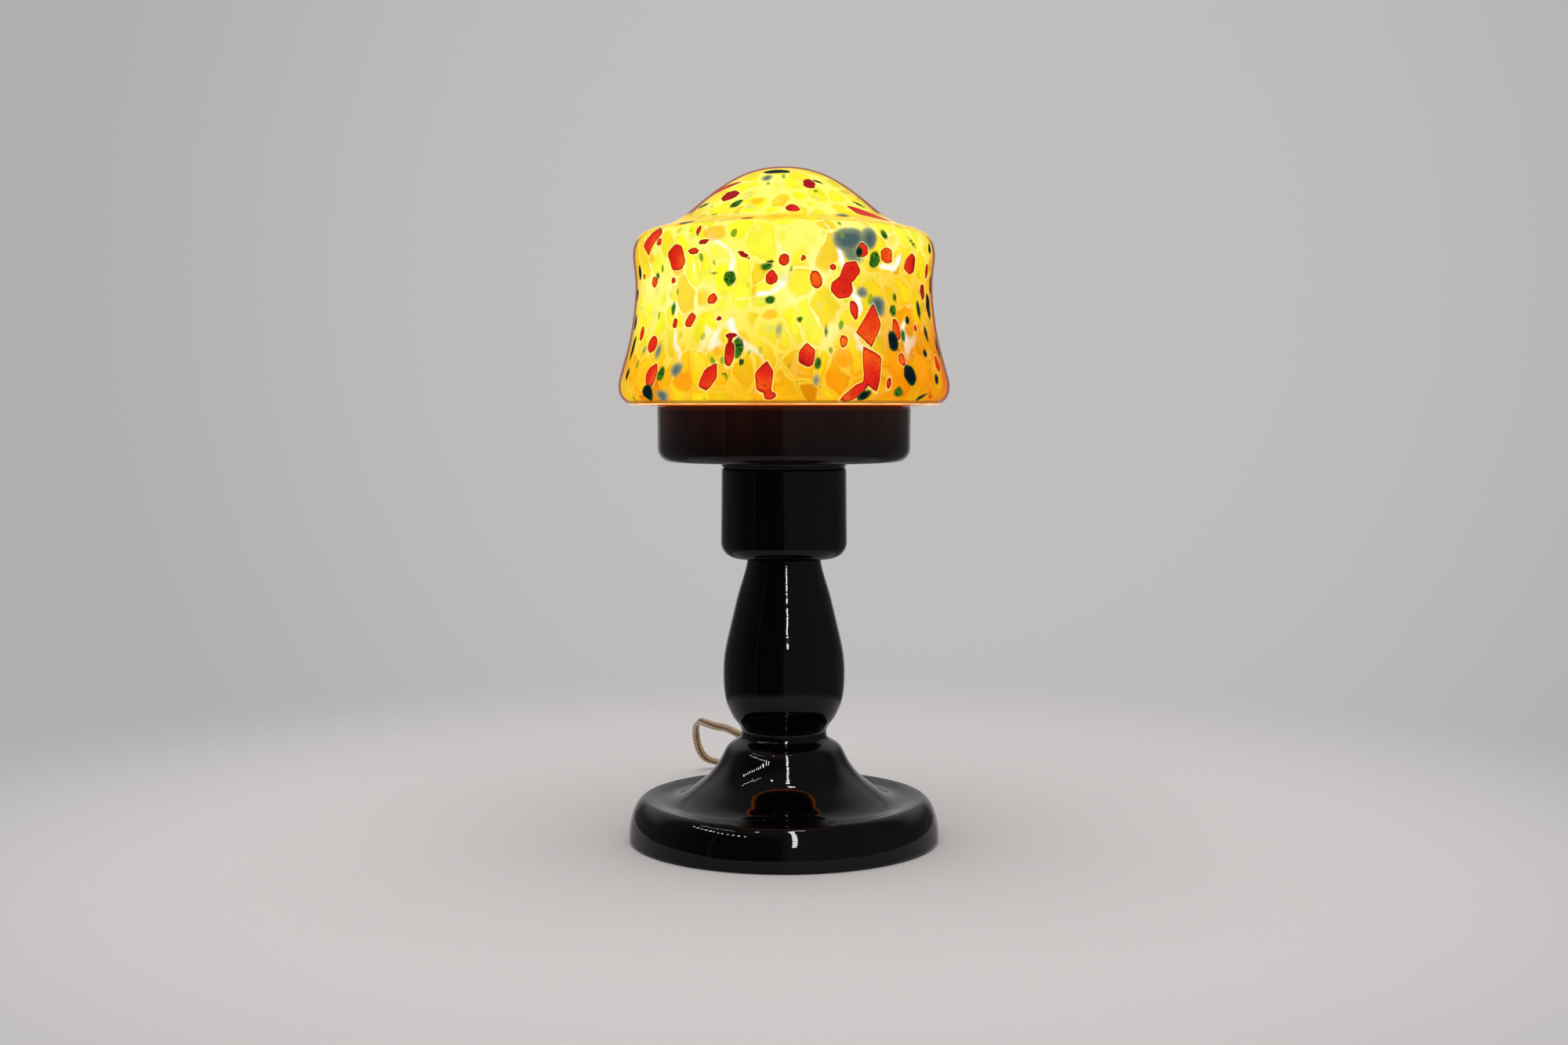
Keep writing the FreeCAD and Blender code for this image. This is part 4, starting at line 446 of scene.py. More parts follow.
def frosted_bulb():
    made, tree, shader = material("bulb_glass", 0.35, IOR=1.5, Emission_Strength=1.6)
    coordinates = place(tree)
    glow = step(tree, parts(tree, coordinates)["Z"], *BULB_GLOW_HEIGHTS)
    colour = mixed(tree, glow, BULB_NECK, BULB_BRIGHT)
    frost = noise(tree, coordinates, 1400.0)
    feed(tree, shader, Base_Color=colour, Emission_Color=colour, Normal=bump(tree, frost, 0.00004))
    return made


def clear_glass():
    made, tree, shader = material("stem_glass", 0.05, (0.92, 0.93, 0.92), IOR=1.5, Transmission_Weight=0.9)
    ripple = noise(tree, place(tree), 90.0)
    feed(tree, shader, Normal=bump(tree, ripple, 0.0003))
    return made


def filament():
    made, tree, shader = material("filament", 0.5, (1.0, 0.80, 0.30), Emission_Strength=4.0)
    bands = noise(tree, place(tree), 500.0)
    feed(tree, shader, Emission_Color=ramp(tree, bands, HOT_WIRE))
    return made


def metal(name, colour, worn, roughness):
    """Bare or plated metal with tool marks along its turning and dull patches."""
    made, tree, shader = material(name, roughness, colour, 1.0)
    coordinates = place(tree)
    lines = noise(tree, stretched(tree, coordinates, 12.0), 420.0, 3.0, 0.6)
    dull = step(tree, noise(tree, coordinates, 120.0, 4.0, 0.6), 0.45, 0.70)
    rough = calc(tree, "MULTIPLY_ADD", lines, 0.18, calc(tree, "MULTIPLY_ADD", dull, 0.18, roughness - 0.09))
    tone = mixed(tree, dull, colour, worn)
    feed(tree, shader, Base_Color=tone, Roughness=rough, Normal=bump(tree, lines, 0.00003))
    return made


def moulded(name, colour, light, roughness, grain_scale, grain_depth):
    """Moulded plastic, rubber or glazed ware: a fine skin, slight colour drift and polished patches."""
    made, tree, shader = material(name, roughness, colour)
    coordinates = place(tree)
    drift = noise(tree, coordinates, 70.0, 3.0)
    grain = noise(tree, coordinates, grain_scale, 3.0, 0.6)
    rubbed = step(tree, noise(tree, coordinates, 160.0, 4.0, 0.65), 0.50, 0.72)
    tone = mixed(tree, step(tree, drift, 0.30, 0.75), colour, light)
    rough = calc(tree, "MULTIPLY_ADD", rubbed, 0.12, roughness - 0.04)
    feed(tree, shader, Base_Color=tone, Roughness=rough, Normal=bump(tree, grain, grain_depth))
    return made


# Flex and tie: radians of the strands' twist in a metre, strands per radian round the flex, and colours
STRAND_TWIST = 1500.0
STRANDS_AROUND = 3.0
COPPER_DARK = (0.36, 0.19, 0.075)
COPPER_BRIGHT = (0.66, 0.42, 0.20)
INSULATION = (0.72, 0.54, 0.34)
GROOVE = (0.17, 0.085, 0.030)
FLEX_EDGE = (0.74, 0.60, 0.42)
TIE_DARK = (0.48, 0.46, 0.41)
TIE_LIGHT = (0.84, 0.82, 0.76)


def flex_insulation():
    """Clear gold-tan insulation over twisted copper, dark in the groove between its two cores."""
    made, tree, shader = material("flex", 0.22, IOR=1.52, Coat_Weight=0.6, Coat_Roughness=0.12)
    across = painted(tree, "across")
    start = times(tree, painted(tree, "around"), STRANDS_AROUND)
    turns = calc(tree, "MULTIPLY_ADD", painted(tree, "along"), STRAND_TWIST, start)
    strands = step(tree, calc(tree, "SINE", turns), -0.6, 0.8)
    cloudy = noise(tree, place(tree), 240.0, 3.0)
    copper = mixed(tree, strands, COPPER_DARK, COPPER_BRIGHT)
    skin = mixed(tree, step(tree, cloudy, 0.35, 0.70, 0.15, 0.55), copper, INSULATION)
    colour = mixed(tree, step(tree, across, 0.10, 0.42), GROOVE, skin)
    edge = step(tree, across, 0.80, 1.0)
    colour = mixed(tree, times(tree, edge, 0.6), colour, FLEX_EDGE)
    feed(tree, shader, Base_Color=colour, Normal=bump(tree, strands, 0.00004, 0.6))
    return made


def tie_weave():
    """A soft woven band: ribs across it, fluffed where it rubs."""
    made, tree, shader = material("tie", 0.85, Sheen_Weight=0.4, Sheen_Roughness=0.6)
    coordinates = place(tree)
    warp = add(tree, "ShaderNodeTexWave", {"Vector": coordinates, "Scale": 520.0, "Distortion": 1.2})
    weft_inputs = {"Vector": coordinates, "Scale": 420.0, "Distortion": 1.0}
    weft = add(tree, "ShaderNodeTexWave", weft_inputs, bands_direction="Z")
    threads = times(tree, warp.outputs["Fac"], weft.outputs["Fac"])
    fluff = noise(tree, coordinates, 1500.0, 3.0)
    pile = calc(tree, "MULTIPLY_ADD", fluff, 0.6, threads)
    colour = mixed(tree, step(tree, pile, 0.25, 0.95), TIE_DARK, TIE_LIGHT)
    feed(tree, shader, Base_Color=colour, Normal=bump(tree, pile, 0.00012))
    return made


# Colour, worn colour and roughness of each metal
METALS = {
    "plated_steel": ((0.62, 0.61, 0.58), (0.42, 0.41, 0.38), 0.34),
    "cap_metal": ((0.78, 0.78, 0.78), (0.58, 0.58, 0.58), 0.28),
    "brass": ((0.74, 0.53, 0.22), (0.50, 0.32, 0.12), 0.30),
}

# Colour, lighter colour, roughness, grain scale and grain depth of each moulded stuff
MOULDED = {
    "black_rubber": ((0.018, 0.018, 0.018), (0.034, 0.033, 0.032), 0.62, 900.0, 0.00006),
    "holder_plastic": ((0.016, 0.014, 0.014), (0.028, 0.025, 0.024), 0.24, 500.0, 0.00003),
    "porcelain": ((0.78, 0.76, 0.70), (0.84, 0.82, 0.78), 0.20, 300.0, 0.00003),
    "brown_plastic": ((0.040, 0.018, 0.010), (0.062, 0.030, 0.016), 0.22, 700.0, 0.00003),
}

finishes = {
    "black_glass": black_glass(),
    "cup_glass": cup_glass(),
    "spatter_glass": spatter_glass(),
    "bulb_glass": frosted_bulb(),
    "stem_glass": clear_glass(),
    "filament": filament(),
    "flex": flex_insulation(),
    "tie": tie_weave(),
}
for name, values in METALS.items():
    finishes[name] = metal(name, *values)
for name, values in MOULDED.items():
    finishes[name] = moulded(name, *values)

slot_of = {part["node"]: part["material_slot"] for part in frame["record"]["subparts"]}
for name, node in frame["nodes"].items():
    node.data.materials.clear()
    node.data.materials.append(finishes[slot_of[name]])


# Meshes


def in_scene(name, data):
    made = bpy.data.objects.new(name, data)
    bpy.context.scene.collection.objects.link(made)
    return made


def piece(name, points, faces, finish, body):
    mesh = bpy.data.meshes.new(name)
    mesh.from_pydata([tuple(point) for point in points], [], faces)
    mesh.materials.append(finishes[finish])
    mesh.polygons.foreach_set("use_smooth", [True] * len(mesh.polygons))
    made = in_scene(name, mesh)
    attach(made, body)
    return made


def unit(vector):
    return np.asarray(vector, float) / np.linalg.norm(vector)


def attribute(made, name, values):
    layer = made.data.attributes.new(name, "FLOAT", "POINT")
    layer.data.foreach_set("value", np.asarray(values, np.float32))


def smooth_line(points, spacing, start, end):
    """Evenly spaced points of a smooth curve through points that leaves and ends along two directions."""
    points = np.array(points, float)
    steps = np.linalg.norm(np.diff(points, axis=0), axis=1)
    knots = np.concatenate(([0.0], np.cumsum(steps)))
    count = len(points)
    matrix = np.zeros((count, count))
    right = np.zeros((count, points.shape[1]))
    slopes = np.diff(points, axis=0) / steps[:, None]
    matrix[0, :2] = (2 * steps[0], steps[0])
    right[0] = 6 * (slopes[0] - unit(start))
    for i in range(1, count - 1):
        matrix[i, i - 1 : i + 2] = (steps[i - 1], 2 * (steps[i - 1] + steps[i]), steps[i])
        right[i] = 6 * (slopes[i] - slopes[i - 1])
    matrix[-1, -2:] = (steps[-1], 2 * steps[-1])
    right[-1] = 6 * (unit(end) - slopes[-1])
    bends = np.linalg.solve(matrix, right)
    places = np.linspace(0.0, knots[-1], max(2, round(knots[-1] / spacing)) + 1)
    line = []
    for at in places:
        i = min(max(int(np.searchsorted(knots, at)) - 1, 0), count - 2)
        before = at - knots[i]
        after = knots[i + 1] - at
        h = steps[i]
        line.append(
            (bends[i] * after**3 + bends[i + 1] * before**3) / (6 * h)
            + (points[i] / h - bends[i] * h / 6) * after
            + (points[i + 1] / h - bends[i + 1] * h / 6) * before
        )
    return np.array(line)


def lathe(name, profile, around, finish, body):
    """A closed solid turned about Z from a profile of (radius, height); radius zero makes one point."""
    points = []
    rings = []
    for radius, height in profile:
        if radius < 1e-6:
            rings.append([len(points)] * around)
            points.append((0.0, 0.0, height))
            continue
        rings.append(list(range(len(points), len(points) + around)))
        for i in range(around):
            angle = 2 * math.pi * i / around
            points.append((radius * math.cos(angle), radius * math.sin(angle), height))
    faces = []
    for low, high in zip(rings, rings[1:] + rings[:1]):
        for i in range(around):
            j = (i + 1) % around
            corners = [low[i], low[j], high[j], high[i]]
            corners = [c for k, c in enumerate(corners) if c != corners[k - 1]]
            if len(corners) > 2:
                faces.append(corners)
    return piece(name, points, faces, finish, body)


# Shade: the CAD model's profile, in millimetres, meshed finely so that it can carry its painted chips

SHADE_SEAT = 265.0
SHADE_TOP = 411.7
SHADE_GLASS = 3.2
RIM_RADIUS = 101.4
WAIST_RADIUS = 91.0
SHOULDER_RADIUS = 92.5
STEP_RADIUS = 73.0
RIM_HEIGHT = SHADE_SEAT + 12.8
WAIST_HEIGHT = SHADE_SEAT + 71.2
SHOULDER_HEIGHT = SHADE_SEAT + 92.0
STEP_HEIGHT = SHADE_SEAT + 109.9
UNDERSIDE_RADIUS = 93.5
UNDERSIDE_HEIGHT = SHADE_SEAT + 0.95
SEAT_RADIUS = 77.8
COLLAR_RADIUS = 72.5
COLLAR_BOTTOM = SHADE_SEAT - 10.0
COLLAR_ROUNDING = SHADE_GLASS / 2 - 0.1
SHADE_SPACING = 1.9
SHADE_AROUND = 320
ROUNDING_POINTS = 5

# Shares of the way from one size to the next, sideways and up, as in the CAD model
UNDER_SHAPE = ((1.0, 0.0), (0.36, 0.24), (0.06, 0.60))
FLARE_SHAPE = ((1.0, 0.0), (0.850, 0.135), (0.590, 0.300), (0.320, 0.500), (0.105, 0.755))
WAIST_SHAPE = ((0.0, 0.0), (0.330, 0.500))
SHOULDER_SHAPE = ((0.0, 0.0), (0.062, 0.400), (0.220, 0.675), (0.435, 0.815), (0.690, 0.905))
DOME_SHAPE = (
    (0.0, 0.0), (0.096, 0.092), (0.205, 0.250), (0.343, 0.478),
    (0.507, 0.715), (0.671, 0.886), (0.836, 0.976), (1.0, 1.0),
)


def shade_outline():
    """The outside, from the underside's edge round the rim and up to the top."""
    runs = (
        (RIM_RADIUS, UNDERSIDE_RADIUS, UNDERSIDE_HEIGHT, RIM_HEIGHT, UNDER_SHAPE),
        (WAIST_RADIUS, RIM_RADIUS, RIM_HEIGHT, WAIST_HEIGHT, FLARE_SHAPE),
        (WAIST_RADIUS, SHOULDER_RADIUS, WAIST_HEIGHT, SHOULDER_HEIGHT, WAIST_SHAPE),
        (SHOULDER_RADIUS, STEP_RADIUS, SHOULDER_HEIGHT, STEP_HEIGHT, SHOULDER_SHAPE),
        (STEP_RADIUS, 0.0, STEP_HEIGHT, SHADE_TOP, DOME_SHAPE),
    )
    points = []
    for from_radius, to_radius, low, high, shape in runs:
        for sideways, up in shape:
            radius = from_radius + (to_radius - from_radius) * sideways
            points.append((radius, low + (high - low) * up))
    return smooth_line(points, SHADE_SPACING, (1.0, 0.1), (-1.0, 0.0))


def bevelled(corners, spacing):
    """Points of a broken line through (radius, height, rounding) corners, evenly spaced on its straights."""
    line = []
    last = len(corners) - 1
    for i, (r, z, rounding) in enumerate(corners):
        corner = np.array((r, z))
        if rounding == 0 or i in (0, last):
            turn = [corner]
        else:
            before = unit(np.array(corners[i - 1][:2]) - corner)
            after = unit(np.array(corners[i + 1][:2]) - corner)
            half = math.acos(float(before @ after)) / 2
            reach = rounding / math.tan(half)
            start = corner + before * reach
            end = corner + after * reach
            shares = np.linspace(0.0, 1.0, ROUNDING_POINTS)
            turn = [start * (1 - s) ** 2 + corner * 2 * s * (1 - s) + end * s**2 for s in shares]
        if line:
            gap = turn[0] - line[-1]
            count = max(1, round(float(np.linalg.norm(gap)) / spacing))
            base = line[-1]
            line += [base + gap * k / count for k in range(1, count)]
        line += turn
    return line


def glass_shade():
    outside = shade_outline()
    ways = np.gradient(outside, axis=0)
    ways /= np.linalg.norm(ways, axis=1)[:, None]
    inside = outside + np.stack((-ways[:, 1], ways[:, 0]), axis=1) * SHADE_GLASS
    inside[-1, 0] = 0.0
    collar_inner = COLLAR_RADIUS - SHADE_GLASS
    lower = bevelled(
        (
            (inside[0, 0], inside[0, 1], 0),
            (collar_inner, SHADE_SEAT + SHADE_GLASS, SHADE_GLASS),
            (collar_inner, COLLAR_BOTTOM, COLLAR_ROUNDING),
            (COLLAR_RADIUS, COLLAR_BOTTOM, COLLAR_ROUNDING),
            (COLLAR_RADIUS, SHADE_SEAT, 0),
            (SEAT_RADIUS, SHADE_SEAT, 0),
            (outside[0, 0], outside[0, 1], 0),
        ),
        SHADE_SPACING,
    )
    profile = list(outside) + list(inside[::-1]) + lower[1:-1]
    metres = [(max(0.0, r) * MM, z * MM) for r, z in profile]
    made = lathe("spatter_shade", metres, SHADE_AROUND, "spatter_glass", "shade")
    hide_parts("glass_shade")
    return made, outside


# Coloured chips on the front, in millimetres as seen from there: across, height, width, tall, lean in degrees
FRONT_CHIPS = {
    "red": (
        (-32, 390, 10, 7, 25), (15, 397, 8, 7, -20), (5, 380, 9, 5, -8), (-39, 395, 15, 4, 35),
        (52, 378, 19, 5, -25), (-78, 363, 10, 11, 40), (-62, 351, 10, 15, 5), (-49, 366, 3, 7, 0),
        (-46, 359, 7, 3, 5), (-52, 354, 7, 4, 0), (0, 348, 6, 7, 0), (11, 349, 3, 4, 0),
        (-7, 338, 7, 9, 0), (-23, 351, 9, 3, -30), (45, 354, 7, 8, 15), (59, 352, 7, 10, 15),
        (74, 348, 7, 13, 3), (38, 342, 11, 13, -8), (33, 332, 14, 12, 0), (28, 344, 4, 4, 0),
        (18, 337, 7, 12, 15), (-41, 326, 6, 6, 0), (-54, 314, 5, 9, -25), (-63, 313, 3, 7, 0),
        (40, 320, 5, 12, 8), (49, 310, 11, 19, -48), (50, 286, 10, 22, -4), (34, 302, 5, 7, 0),
        (13, 293, 10, 13, 0), (-11, 281, 11, 18, -8), (-43, 281, 9, 15, -22), (-31, 295, 6, 16, 5),
        (-30, 305, 7, 4, 0), (-77, 301, 6, 11, 0), (-84, 308, 3, 9, 0), (-77, 283, 7, 14, -15),
        (-76, 338, 4, 6, 0), (-64, 338, 3, 4, 0), (-83, 342, 2, 4, 0), (65, 309, 5, 13, 5),
        (68, 292, 4, 8, 5), (85, 346, 2, 9, 0), (82, 333, 3, 10, 5), (91, 290, 3, 10, -8),
        (77, 311, 2, 5, 0), (41, 273, 16, 7, 38), (-37, 315, 4, 3, 0), (-73, 361, 3, 5, 0),
        (-21, 373, 8, 2, 3), (-8, 271, 7, 5, 0), (60, 278, 3, 7, -10),
    ),
    "green": (
        (-31, 338, 8, 9, 0), (-10, 344, 8, 5, 0), (-8, 325, 7, 6, 0), (-28, 384, 6, 6, -30),
        (52, 349, 7, 11, 0), (63, 320, 5, 7, 0), (19, 289, 5, 9, -8), (-26, 298, 8, 14, 0),
        (-34, 283, 3, 3, 0), (-71, 284, 5, 10, -8), (66, 273, 7, 6, -20), (64, 328, 3, 7, 0),
        (-74, 341, 3, 5, 0), (-40, 341, 5, 2, 0), (9, 314, 4, 4, 0), (58, 364, 4, 7, 20),
        (-48, 385, 6, 3, 25), (45, 385, 7, 3, -35), (3, 288, 2, 5, 0), (24, 307, 3, 10, 0),
        (-64, 322, 3, 9, 0), (69, 306, 3, 9, 0), (75, 361, 7, 3, -35),
    ),
    "cloud": (
        (38, 360, 21, 18, 0), (49, 362, 12, 16, 0), (39, 351, 14, 9, -20), (54, 323, 10, 14, 15),
        (45, 330, 7, 8, 0), (-62, 286, 8, 9, 0), (18, 279, 5, 8, 0), (-3, 308, 4, 9, 0),
        (-73, 297, 5, 12, -10), (-10, 401, 7, 5, 0), (34, 376, 9, 3, -10), (-71, 271, 8, 8, 20),
        (-82, 298, 3, 6, 0),
    ),
    "ink": (
        (-4, 406, 18, 3, 0), (63, 302, 7, 13, 0), (73, 283, 8, 13, 12), (83, 296, 3, 5, 0),
        (86, 325, 3, 17, 0), (-80, 273, 7, 10, 15), (-89, 315, 2, 11, 0), (-24, 290, 3, 5, 0),
        (-8, 347, 5, 2, 0), (46, 271, 9, 6, 25), (-57, 372, 8, 2, 15), (-88, 332, 2, 8, 0),
        (43, 353, 5, 7, 0), (20, 399, 7, 2, -35), (87, 359, 2, 7, 0), (-90, 300, 2, 14, 0),
        (-86, 345, 2, 10, 0), (88, 338, 2, 12, 0), (92, 300, 2, 12, 0), (79, 322, 2, 12, 5),
        (-93, 284, 2, 9, 0), (84, 308, 2, 12, 6), (72, 315, 3, 6, -10), (90, 281, 3, 7, 0),
        (81, 270, 7, 3, 20),
    ),
    "amber": (
        (-8, 317, 9, 7, 5), (28, 280, 10, 13, 0), (-40, 364, 14, 9, 0), (80, 287, 9, 17, 0),
        (64, 291, 8, 18, 8), (-16, 385, 8, 4, 0), (-17, 330, 3, 10, 0), (-38, 297, 4, 7, 0),
        (-61, 343, 7, 5, 0), (-78, 352, 5, 7, 0), (33, 292, 12, 13, 0), (-58, 279, 12, 12, 0),
    ),
}

# Chips round the back: how many of each kind, the least and greatest size, and how sharp the corners are
CHIP_KINDS = {
    "red": (88, 4, 15, 14.0),
    "green": (40, 4, 10, 7.0),
    "cloud": (20, 6, 16, 3.0),
    "ink": (22, 4, 10, 7.0),
    "amber": (24, 7, 16, 6.0),
}
CHIP_SEED = 11
BACK_AZIMUTHS = (78.0, 282.0)
BACK_HEIGHTS = (RIM_HEIGHT - 6, SHADE_TOP - 3)
BACK_TALLNESS = (0.75, 1.7)
BACK_LEAN = 30.0

# Number of sides to draw from, how far corners wander and how much nearer a side may come
CHIP_SIDES = (5, 6, 6, 7)
CORNER_DRIFT = 0.22
NEAREST_SIDE = 0.84

# Chips larger and sharper than this are four-sided slabs, turned a little at most
SLAB_AREA = 215.0
SLAB_SHARPNESS = 10
SLAB_TURN = 0.2

# A chip colours the glass this deep; what no chip is near to gets this distance
CHIP_DEPTH = 12.0
FAR_FROM_CHIPS = 9.0

# How far a front chip may lie round the side, how much it may be foreshortened, and a short way up
EDGE_OF_VIEW = 0.985
LEAST_WIDTH_SEEN = 0.3
LEAST_HEIGHT_SEEN = 0.35
SLOPE_STEP = 0.5


def radius_at(outside, height):
    upper = outside[np.argmax(outside[:, 0]) :]
    return float(np.interp(height, upper[:, 1], upper[:, 0]))


def chip_place(outside, azimuth, height):
    """The point on the shade at an azimuth from the front, and its ways across, up and out."""
    radius = radius_at(outside, height)
    slope = (radius_at(outside, height + SLOPE_STEP) - radius) / SLOPE_STEP
    angle = math.radians(azimuth)
    outward = np.array((math.sin(angle), -math.cos(angle), 0.0))
    across = np.array((math.cos(angle), math.sin(angle), 0.0))
    up = unit(outward * slope + np.array((0.0, 0.0, 1.0)))
    return outward * radius + np.array((0.0, 0.0, height)), across, up, np.cross(across, up)


def front_chip(outside, row):
    x, height, width, tall, lean = row
    share = x / radius_at(outside, height)
    azimuth = math.degrees(math.asin(max(-EDGE_OF_VIEW, min(EDGE_OF_VIEW, share))))
    ways = chip_place(outside, azimuth, height)
    width = width / max(LEAST_WIDTH_SEEN, math.cos(math.radians(azimuth)))
    tall = tall / max(LEAST_HEIGHT_SEEN, float(ways[2][2]))
    return (*ways, width, tall, lean)


def back_chips(outside, draw, count, least, most):
    rows = []
    while len(rows) < count:
        azimuth = draw.uniform(*BACK_AZIMUTHS)
        height = draw.uniform(*BACK_HEIGHTS)
        ways = chip_place(outside, azimuth, height)
        if draw.random() > math.hypot(ways[0][0], ways[0][1]) / RIM_RADIUS:
            continue
        width = least + (most - least) * draw.random() ** 2
        tall = width * draw.uniform(*BACK_TALLNESS)
        rows.append((*ways, width, tall, draw.uniform(-BACK_LEAN, BACK_LEAN)))
    return rows


def distance_to_chips(points, rows, draw, corners):
    """For each point, how far it is outside the nearest chip, a rounded polygon, or inside where negative."""
    nearest = np.full(len(points), FAR_FROM_CHIPS)
    for centre, across, up, outward, width, tall, lean in rows:
        offset = points - centre
        turn = math.radians(lean)
        a = (offset @ across * math.cos(turn) + offset @ up * math.sin(turn)) / (width / 2)
        b = (offset @ up * math.cos(turn) - offset @ across * math.sin(turn)) / (tall / 2)
        slab = width * tall > SLAB_AREA and corners > SLAB_SHARPNESS
        sides = 4 if slab else draw.choice(CHIP_SIDES)
        start = draw.uniform(-SLAB_TURN, SLAB_TURN) if slab else draw.uniform(0.0, 2 * math.pi)
        reach = np.zeros(len(points))
        for i in range(sides):
            angle = start + 2 * math.pi * (i + draw.uniform(-CORNER_DRIFT, CORNER_DRIFT)) / sides
            side = (a * math.cos(angle) + b * math.sin(angle)) / draw.uniform(NEAREST_SIDE, 1.0)
            reach += np.maximum(0.0, side) ** corners
        reach = reach ** (1 / corners)
        distance = (reach - 1) * min(width, tall) / 2
        distance[np.abs(offset @ outward) > CHIP_DEPTH] = FAR_FROM_CHIPS
        nearest = np.minimum(nearest, distance)
    return nearest


shade, shade_outside = glass_shade()
shade_points = np.array([v.co for v in shade.data.vertices]) / MM
chips_draw = random.Random(CHIP_SEED)
for kind, (count, least, most, sharpness) in CHIP_KINDS.items():
    chip_rows = [front_chip(shade_outside, row) for row in FRONT_CHIPS[kind]]
    chip_rows += back_chips(shade_outside, chips_draw, count, least, most)
    attribute(shade, kind, distance_to_chips(shade_points, chip_rows, chips_draw, sharpness))


# Cord: a flat twin flex on the CAD model's route, in millimetres

CORD_WIDTH = 5.6
CORE_RADIUS = 1.42
CORE_OFFSET = 1.38
WEB_HALF = 0.62
SECTION_POINTS = 28
SECTION_CROWDING = 0.8
EXIT_HEIGHT = 50.0
EXIT_REACH = 62.0
SWITCH_MIDDLE = np.array((4.9, 214.7, 4.2))
SWITCH_HEADING = math.radians(-25.0)
SWITCH_GRIP_REACH = 24.0
COIL_CENTRE = np.array((5.5, 150.0, 0.0))
COIL_MIDDLE = 32.0
COIL_PITCH = 6.2
COIL_TURNS = 6.625
COIL_LOW = 3.6
COIL_STEPS = 16
SHORT_TURN = 0.001
PLUG_ENTRY = np.array((20.1, 165.0, 19.65))

spiral_turns = (COIL_TURNS - 0.5) / 2
switch_way = np.array((math.cos(SWITCH_HEADING), math.sin(SWITCH_HEADING), 0.0))
switch_entry = SWITCH_MIDDLE - switch_way * SWITCH_GRIP_REACH
switch_leave = SWITCH_MIDDLE + switch_way * SWITCH_GRIP_REACH
cord_exit = np.array((0.0, EXIT_REACH, EXIT_HEIGHT))


def coil_point(turn, reach=1.0):
    """In at a steady rate on the floor, up in a half turn at the inside, and out again on top."""
    inner = COIL_MIDDLE - COIL_PITCH * spiral_turns / 2
    share = min(1.0, max(0.0, (turn - spiral_turns) / 0.5))
    if turn <= spiral_turns:
        radius = inner + COIL_PITCH * (spiral_turns - turn)
    elif turn >= spiral_turns + 0.5:
        radius = inner + COIL_PITCH * (turn - spiral_turns - 0.5)
    else:
        radius = inner - COIL_PITCH * 0.5 * share * (1 - share)
    radius *= reach
    angle = -2 * math.pi * turn
    height = COIL_LOW + COIL_PITCH * share * share * (3 - 2 * share)
    return COIL_CENTRE + np.array((radius * math.cos(angle), radius * math.sin(angle), height))


def coil_way(turn):
    return unit(coil_point(turn + SHORT_TURN) - coil_point(turn - SHORT_TURN))


def nurbs_line(name, points, resolution):
    """Points along a curve of order three that is drawn in by these control points."""
    data = bpy.data.curves.new(name, "CURVE")
    data.dimensions = "3D"
    data.resolution_u = resolution
    spline = data.splines.new("NURBS")
    spline.points.add(len(points) - 1)
    for control, point in zip(spline.points, points):
        control.co = (*(np.array(point) * MM), 1.0)
    spline.order_u = 3
    spline.use_endpoint_u = True
    guide = in_scene(name, data)
    bpy.context.view_layer.update()
    depsgraph = bpy.context.evaluated_depsgraph_get()
    mesh = bpy.data.meshes.new_from_object(guide.evaluated_get(depsgraph))
    line = np.array([v.co for v in mesh.vertices])
    bpy.data.objects.remove(guide)
    bpy.data.curves.remove(data)
    bpy.data.meshes.remove(mesh)
    return line


def twin_section():
    """The outline of two round cores joined by a web: offsets along the wide side and the thin side."""
    section = []
    for i in range(SECTION_POINTS):
        angle = 2 * math.pi * i / SECTION_POINTS
        side = 1 if math.cos(angle) >= 0 else -1
        wide = abs(math.cos(angle)) ** SECTION_CROWDING * (CORE_OFFSET + CORE_RADIUS)
        inside = CORE_RADIUS**2 - (wide - CORE_OFFSET) ** 2
        thin = max(math.sqrt(max(0.0, inside)), WEB_HALF if wide < CORE_OFFSET else 0.0)
        section.append((side * wide * MM, math.copysign(thin, math.sin(angle)) * MM))
    return section


def flex(name, points, leans, resolution):
    """A flat flex along a route; leans are (share of the length, degrees from standing on its edge)."""
    line = nurbs_line(name + "_route", points, resolution)
    runs = np.linalg.norm(np.diff(line, axis=0), axis=1)
    along = np.concatenate(([0.0], np.cumsum(runs)))
    ways = np.gradient(line, axis=0)
    ways /= np.linalg.norm(ways, axis=1)[:, None]
    lean_shares, lean_degrees = zip(*leans)
    section = twin_section()
    size = len(section)
    vertices = []
    across = []
    around = []
    for point, way, distance in zip(line, ways, along):
        lean = math.radians(float(np.interp(distance / along[-1], lean_shares, lean_degrees)))
        side = unit(np.cross(way, (0.0, 0.0, 1.0)))
        top = np.cross(side, way)
        wide_way = top * math.cos(lean) + side * math.sin(lean)
        thin_way = np.cross(way, wide_way)
        for i, (wide, thin) in enumerate(section):
            vertices.append(point + wide_way * wide + thin_way * thin)
            across.append(abs(wide) / (CORD_WIDTH / 2 * MM))
            around.append(2 * math.pi * i / size)
    faces = []
    for k in range(len(line) - 1):
        for i in range(size):
            j = (i + 1) % size
            faces.append((k * size + i, k * size + j, (k + 1) * size + j, (k + 1) * size + i))
    faces.append(tuple(reversed(range(size))))
    faces.append(tuple(range((len(line) - 1) * size, len(line) * size)))
    made = piece(name, vertices, faces, "flex", "base")
    attribute(made, "across", across)
    attribute(made, "around", around)
    attribute(made, "along", np.repeat(along, size))
    return made, line, float(along[-1])


